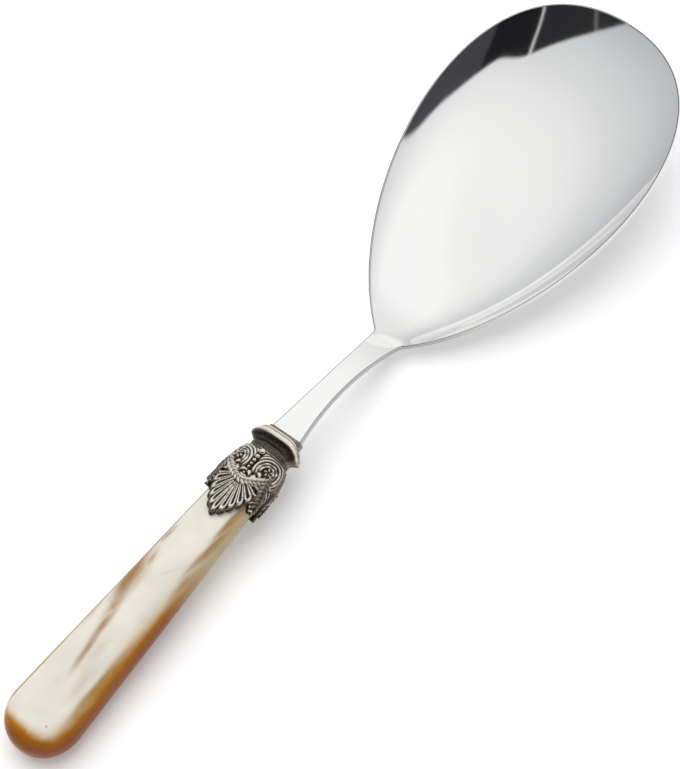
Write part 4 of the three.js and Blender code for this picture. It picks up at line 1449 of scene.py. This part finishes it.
    def _wear(self, down: np.ndarray, height: np.ndarray) -> np.ndarray:
        """How bright each place is rubbed, 0 in the recesses to 1 on the crests, with painted shade and
        highlight.

        Args:
            down: Distances from the collar's face.
            height: Heights of the relief.

        Returns:
            The brightness, with its painted shade and highlight.
        """
        mean = height
        for reach in self.wear_reaches:
            mean = (np.roll(mean, reach, axis=1) + np.roll(mean, -reach, axis=1) + mean) / 3
            padded = np.pad(mean, ((reach, reach), (0, 0)), mode="edge")
            mean = (padded[2 * reach:] + padded[:-2 * reach] + mean) / 3
        down = self._swept(down)
        facing = np.abs(np.cos(self.turns))
        wear = self.flat_wear + (
            self.crest_wear * (height - mean) + self.height_wear * height) / self.relief
        # Painted shade where the surface turns from the faces to the sides.
        wear = wear * (1 - self.side_painted_shade * (1 - facing))
        band, cove = between(down, *self.band_spans), between(down, *self.cove_spans)
        wear = np.where(down < self.belly_start, self.collar_wear, wear)
        whole, on_faces = self.band_wear_and_highlight
        # The band is rubbed brighter all round, with a painted highlight on the faces; the cove gets
        # painted shade on the faces.
        wear = wear + whole * band + (on_faces * band - self.cove_painted_shade * cove) * np.sqrt(facing)
        for line in self.groove_lines:
            wear = wear - self.groove_dark * np.exp(-(((down - line) / self.groove_dark_half) ** 2))
        return np.clip(wear, 0, 1)

    def _surface(
        self, down: float, distance: float, face: Face, lift: float
    ) -> tuple[np.ndarray, np.ndarray]:
        """A point on the ornamented face.

        Args:
            down: Distance from the collar's face.
            distance: Distance round from the middle of the face.
            face: Upper or under face.
            lift: Height over the plain casting.

        Returns:
            The point on the bench, and the direction out of the surface there.
        """
        row = self._section(np.full((1, self.columns), down))
        around, _ = self._round(row)
        top = self.columns // 4
        order = np.concatenate([np.arange(-top, 0), np.arange(0, top + 1)])
        side = np.array([np.interp(distance, around[0, order], row[0, order, axis]) for axis in (1, 2)])
        grow = np.array([side[0] / row[0, :, 1].max() ** 2, side[1] / row[0, :, 2].max() ** 2])
        grow /= np.linalg.norm(grow)
        side = side + lift * grow
        return (np.array([-down, side[0], face.value * side[1]]),
                np.array([0, grow[0], face.value * grow[1]]))

    def _path(self, places: np.ndarray, face: Face, lift: float) -> tuple[np.ndarray, np.ndarray]:
        """A line drawn over the ornamented face.

        Args:
            places: Rows of distance down and distance round.
            face: Upper or under face.
            lift: Height over the plain casting.

        Returns:
            The line's points on the bench, and the directions out of the surface.
        """
        found = [self._surface(down, distance, face, lift) for down, distance in places]
        return np.array([point for point, _ in found]), np.array([out for _, out in found])

    def _beads(self, finish: bpy.types.Material) -> None:
        """Sets a row of beads down the middle of each face.

        Args:
            finish: The pewter.
        """
        row = BeadRow()
        tree = row.tree()
        down = np.linspace(self.bead_start, self.bead_end, self.path_points)
        places = np.column_stack([down, np.zeros_like(down)])
        for face in Face:
            path = self._path(places, face, self.bead_lift)
            piece = grow_piece(f"beads_{face.name.lower()}", [path], tree, row.values(finish))
            seat_piece(piece, "antiqued_pewter")

    def _garlands(self, finish: bpy.types.Material) -> None:
        """Hangs a garland across each face, with a sprig from either knot.

        Args:
            finish: The pewter.
        """
        garland = LaurelGarland()
        paths = []
        for face in Face:
            swag = [*self.swag_half, *((down, -away) for down, away in self.swag_half[-2::-1])]
            paths.append(self._path(round_corners(swag), face, self.garland_lift))
            for hand in Hand:
                places = round_corners([(down, hand.value * away) for down, away in self.sprig])
                paths.append(self._path(places, face, self.garland_lift))
        piece = grow_piece("garlands", paths, garland.tree(), garland.values(finish))
        self._paint_side_shade(piece.data)
        seat_piece(piece, "antiqued_pewter")

    def _paint_side_shade(self, mesh: bpy.types.Mesh) -> None:
        """Darkens an ornament with painted shade where it lies towards the spoon's sides.

        Args:
            mesh: The ornament, which keeps its brightness on its points.
        """
        places = np.empty(3 * len(mesh.vertices), dtype=np.float32)
        mesh.vertices.foreach_get("co", places)
        wear = np.empty(len(mesh.vertices), dtype=np.float32)
        layer = mesh.attributes["wear"].data
        layer.foreach_get("value", wear)
        # Painted shade, deeper towards the spoon's sides.
        away = smooth_step(np.abs(places[1::3]) / MM, *self.side_span)
        layer.foreach_set("value", (wear * (1 - self.side_painted_shade * away)).astype(np.float32))

    def _casting(self, finish: bpy.types.Material) -> None:
        """Makes the casting itself, hollow from the tang's slot to the socket.

        Args:
            finish: The pewter.
        """
        start = self.barrel_length - self.leaf_start
        rows = np.concatenate([np.linspace(0, self.belly_start, self.collar_rows, endpoint=False),
                               np.linspace(self.belly_start, start, self.barrel_rows)])
        plain = np.repeat(rows[:, None], self.columns, axis=1)
        distance, quarter = self._round(self._section(np.full((1, self.columns), self.barrel_length)))
        edge = self._edge(distance[0], quarter[0])
        share = np.linspace(0, 1, self.leaf_rows + 1)[1:, None]
        down = np.vstack([plain, start + (edge[None, :] - start) * share])
        base = self._section(down)
        distance, quarter = self._round(base)
        height = self._relief(down, distance, quarter)
        slope_down = np.gradient(base, axis=0)
        slope_round = np.roll(base, -1, axis=1) - np.roll(base, 1, axis=1)
        normal = np.cross(slope_round, slope_down)
        normal /= np.maximum(np.linalg.norm(normal, axis=-1, keepdims=True), 1e-9)
        outward = np.sign((normal * base * [0, 1, 1]).sum(axis=-1, keepdims=True))
        outer = base + normal * outward * height[..., None]
        wear = self._wear(down, height)
        side, up = oval(self.turns, self.handle.squareness)
        front = self.barrel_length - self.socket_depth
        inner = []
        for at in (edge, (front + self.barrel_length) / 2, front):
            x = np.broadcast_to(-at, side.shape)
            width, rise = (half + self.seat_gap for half in self.handle.half_size(x))
            inner.append(np.column_stack([x, width * side, rise * up]))
        half_way = (inner[0] + outer[-1]) / 2 + (outer[-1] - inner[0]) * [[self.lip_bulge, 0, 0]]
        inner.insert(0, half_way)
        slot_side, slot_up = oval(self.turns, self.slot_squareness)
        for half, ends in ((self.chamber_half, (front - self.chamber_gap, self.slot_end)),
                           (self.slot_half, (self.slot_end, 0))):
            for at in ends:
                inner.append(np.column_stack(
                    [np.full_like(side, -at), half[0] * slot_side, half[1] * slot_up]))
        points = np.vstack([outer.reshape(-1, 3), *inner])
        faces = ring_faces(len(down) + len(inner), self.columns, closed=True)
        # The outer points carry painted shade and highlight with their rubbed brightness; the hollow
        # inside keeps one plain value.
        worn = np.concatenate([wear.ravel(), np.full(len(inner) * self.columns, self.inner_wear)])
        piece = mesh_piece("ferrule_casting", points, faces, finish, {"wear": worn})
        seat_piece(piece, "antiqued_pewter", "ferrule")

    def build(self, finish: bpy.types.Material) -> None:
        """Makes the casting and the ornament that stands proud of it.

        Args:
            finish: The pewter.
        """
        self._casting(finish)
        self._beads(finish)
        self._garlands(finish)


@dataclass
class Cement:
    """The set cement round the tang, kept as the CAD solids."""

    nodes: tuple[str, ...] = ("tang_cement", "ferrule_cement")

    def dress(self, finish: bpy.types.Material) -> None:
        """Gives both solids the resin's finish.

        Args:
            finish: The epoxy.
        """
        for name in self.nodes:
            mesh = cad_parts[name].data
            mesh.materials.clear()
            mesh.materials.append(finish)
            LOG.info("%s: CAD solid kept, finish %s", name, finish.name)


@dataclass
class Studio:
    """A white sweep, one large soft light, the camera, and the room that the steel mirrors.

    The room is pale and brighter towards the glow, with one dark screen on the far side.
    """

    azimuth: float = math.radians(-38.0542)
    elevation: float = math.radians(59.8705)
    roll: float = math.radians(-14.0)
    distance: float = 1.040
    view_angle: float = math.radians(11.7986)
    target: tuple[float, float, float] = (0.010, 0.0, 0.008)
    aim_right: float = -0.00539
    aim_up: float = -0.00564
    sensor: float = 36.0
    floor_size: float = 6.0
    floor_colour: str = "#fbfbfb"
    floor_lift: float = 0.21
    fill: float = 0.36
    fill_colour: str = "#fafbff"
    key_power: float = 84.0
    key_size: float = 4.2
    key_distance: float = 3.0
    key_azimuth: float = math.radians(50)
    key_elevation: float = math.radians(68)
    glow: tuple[float, float, float] = (0.574, 0.0, 0.819)
    screen: tuple[float, float, float] = (0.739, 0.647, 0.187)
    screen_edge: float = -0.125
    screen_step: float = -0.222
    screen_heel: float = 0.065
    screen_soft: float = 0.014
    screen_foot: float = 0.34
    screen_bend: float = -0.035
    screen_run: tuple[float, float, float] = (0.658, -0.752, 0.0)
    wall_stops: tuple[tuple[float, str], ...] = (
        (0.0, "#b0b1b4"), (0.2, "#c1c3c6"), (0.4, "#d3d4d6"), (0.6, "#e0e1e1"), (0.7, "#eeeeee"),
        (0.85, "#fefefd"), (1.0, "#ffffff"))
    panel_stops: tuple[tuple[float, str], ...] = (
        (0.0, "#2d2c2e"), (0.10, "#2d2c2e"), (0.112, "#706966"), (0.125, "#2b2a2c"),
        (0.355, "#29282b"), (0.366, "#d2d2d3"), (0.377, "#1d1c1f"), (0.60, "#1c1b1e"),
        (0.625, "#404044"), (1.0, "#48484d"))

    def camera(self) -> None:
        """Places the camera at the photograph's view."""
        a, e = self.azimuth, self.elevation
        back = Vector((math.sin(a) * math.cos(e), -math.cos(a) * math.cos(e), math.sin(e)))
        level = Vector((math.cos(a), math.sin(a), 0))
        upright = back.cross(level)
        right = level * math.cos(self.roll) + upright * math.sin(self.roll)
        up = upright * math.cos(self.roll) - level * math.sin(self.roll)
        aim = Vector(self.target) + right * self.aim_right + up * self.aim_up
        data = bpy.data.cameras.new("studio_camera")
        data.sensor_width = self.sensor
        data.lens = self.sensor / 2 / math.tan(self.view_angle / 2)
        camera = add_object("studio_camera", data)
        turn = Matrix((right, up, back)).transposed().to_4x4()
        camera.matrix_world = Matrix.Translation(aim + back * self.distance) @ turn
        bpy.context.scene.camera = camera

    def _rays(self, tree: bpy.types.NodeTree) -> tuple[bpy.types.NodeSocket, bpy.types.Node]:
        """Tells rays apart.

        Args:
            tree: Node tree of a finish or of the surroundings.

        Returns:
            Whether a ray comes from the camera, and whether it comes off or through a surface.
        """
        ray = add_node(tree, "ShaderNodeLightPath").outputs
        mirrored = add_node(tree, "ShaderNodeMath", {
            0: ray["Is Glossy Ray"], 1: ray["Is Transmission Ray"]}, operation="MAXIMUM")
        return ray["Is Camera Ray"], mirrored

    def floor(self) -> None:
        """Lays the white paper sweep: matt, with no shine, and white to the eye round a soft shadow."""
        material, tree = new_material("white_paper_sweep")
        direct, mirrored = self._rays(tree)
        seen = add_node(tree, "ShaderNodeMath", {0: direct, 1: mirrored}, operation="MAXIMUM")
        lift = add_node(tree, "ShaderNodeMath", {0: seen, 1: self.floor_lift}, operation="MULTIPLY")
        close_material(tree, {
            "Base Color": linear(self.floor_colour), "Roughness": 0.9, "Specular IOR Level": 0.0,
            "Emission Color": linear("#ffffff"), "Emission Strength": lift})
        half = self.floor_size / 2
        mesh = bpy.data.meshes.new("floor")
        mesh.from_pydata([(-half, -half, 0), (half, -half, 0), (half, half, 0), (-half, half, 0)],
                         [], [(0, 1, 2, 3)])
        mesh.materials.append(material)
        add_object("floor", mesh)

    def key(self) -> None:
        """Hangs the soft light, which no mirror shows."""
        data = bpy.data.lights.new("soft_key", "AREA")
        data.shape = "DISK"
        data.size = self.key_size
        data.energy = self.key_power
        light = add_object("soft_key", data)
        flat = math.cos(self.key_elevation)
        towards = Vector((flat * math.cos(self.key_azimuth), flat * math.sin(self.key_azimuth),
                          math.sin(self.key_elevation)))
        light.location = towards * self.key_distance
        light.rotation_euler = towards.to_track_quat("Z", "Y").to_euler()
        light.visible_glossy = False

    def world(self) -> None:
        """Surrounds the spoon with the studio that the steel mirrors, and with even fill."""
        world = bpy.data.worlds.new("studio")
        bpy.context.scene.world = world
        world.use_nodes = True
        tree = world.node_tree
        tree.nodes.clear()
        way = add_node(tree, "ShaderNodeTexCoord").outputs["Generated"]
        up = add_node(tree, "ShaderNodeSeparateXYZ", {0: way}).outputs["Z"]
        dots = [add_node(tree, "ShaderNodeVectorMath", {0: way, 1: axis}, operation="DOT_PRODUCT")
                for axis in (self.glow, self.screen, self.screen_run)]
        toward, past, along = (dot.outputs["Value"] for dot in dots)
        walls = add_node(tree, "ShaderNodeValToRGB", {"Fac": toward}, self.wall_stops)
        edge = add_node(tree, "ShaderNodeMapRange", {
            "Value": along, "From Min": -0.17, "From Max": 0.12, "To Min": self.screen_edge,
            "To Max": self.screen_step}, interpolation_type="SMOOTHSTEP")
        heel = add_node(tree, "ShaderNodeMapRange", {
            "Value": along, "From Min": 0.5, "From Max": 0.95, "To Max": self.screen_heel},
            interpolation_type="SMOOTHSTEP")
        reach = add_node(tree, "ShaderNodeMath", {0: edge, 1: heel}, operation="ADD")
        inside = add_node(tree, "ShaderNodeMath", {0: reach, 1: past}, operation="SUBTRACT")
        side = add_node(tree, "ShaderNodeMapRange", {
            "Value": inside, "From Min": -self.screen_soft, "From Max": self.screen_soft},
            interpolation_type="SMOOTHSTEP")
        high = add_node(tree, "ShaderNodeMapRange", {
            "Value": up, "From Min": self.screen_foot - 0.02, "From Max": self.screen_foot + 0.02},
            interpolation_type="SMOOTHSTEP")
        dark = add_node(tree, "ShaderNodeMath", {0: side, 1: high}, operation="MULTIPLY")
        run = add_node(tree, "ShaderNodeMapRange", {"Value": along, "From Min": -0.8, "From Max": 0.8})
        bend = add_node(tree, "ShaderNodeMapRange", {
            "Value": inside, "From Max": 0.3, "To Min": self.screen_bend, "To Max": 0.0},
            interpolation_type="SMOOTHSTEP")
        place = add_node(tree, "ShaderNodeMath", {0: run, 1: bend}, operation="ADD")
        panels = add_node(tree, "ShaderNodeValToRGB", {"Fac": place}, self.panel_stops)
        mirrored = add_node(tree, "ShaderNodeMix", {
            0: dark, 6: walls.outputs["Color"], 7: panels.outputs["Color"]}, data_type="RGBA")
        direct, seen = self._rays(tree)
        fill = add_node(tree, "ShaderNodeBackground", {
            "Color": linear(self.fill_colour), "Strength": self.fill})
        mirror = add_node(tree, "ShaderNodeBackground", {"Color": mirrored.outputs[2], "Strength": 1.0})
        backdrop = add_node(tree, "ShaderNodeBackground", {"Color": linear("#ffffff"), "Strength": 1.0})
        first = add_node(tree, "ShaderNodeMixShader", {0: seen, 1: fill, 2: mirror})
        last = add_node(tree, "ShaderNodeMixShader", {0: direct, 1: first, 2: backdrop})
        add_node(tree, "ShaderNodeOutputWorld", {"Surface": last})

    def build(self) -> None:
        """Sets up the camera, the floor, the light and the surroundings."""
        self.camera()
        self.floor()
        self.key()
        self.world()
        bpy.context.scene.view_settings.view_transform = "Standard"


def main() -> None:
    """Builds the studio and then the spoon, piece by piece."""
    logging.basicConfig(level=logging.INFO, format="%(name)s: %(message)s")
    Studio().build()
    SpoonBlade().build(PolishedSteel().material())
    handle = Handle()
    handle.build(PearlAcrylic().material())
    Ferrule(handle).build(AntiquedPewter().material())
    Cement().dress(EpoxyCement().material())


if __name__ == "__main__":
    main()
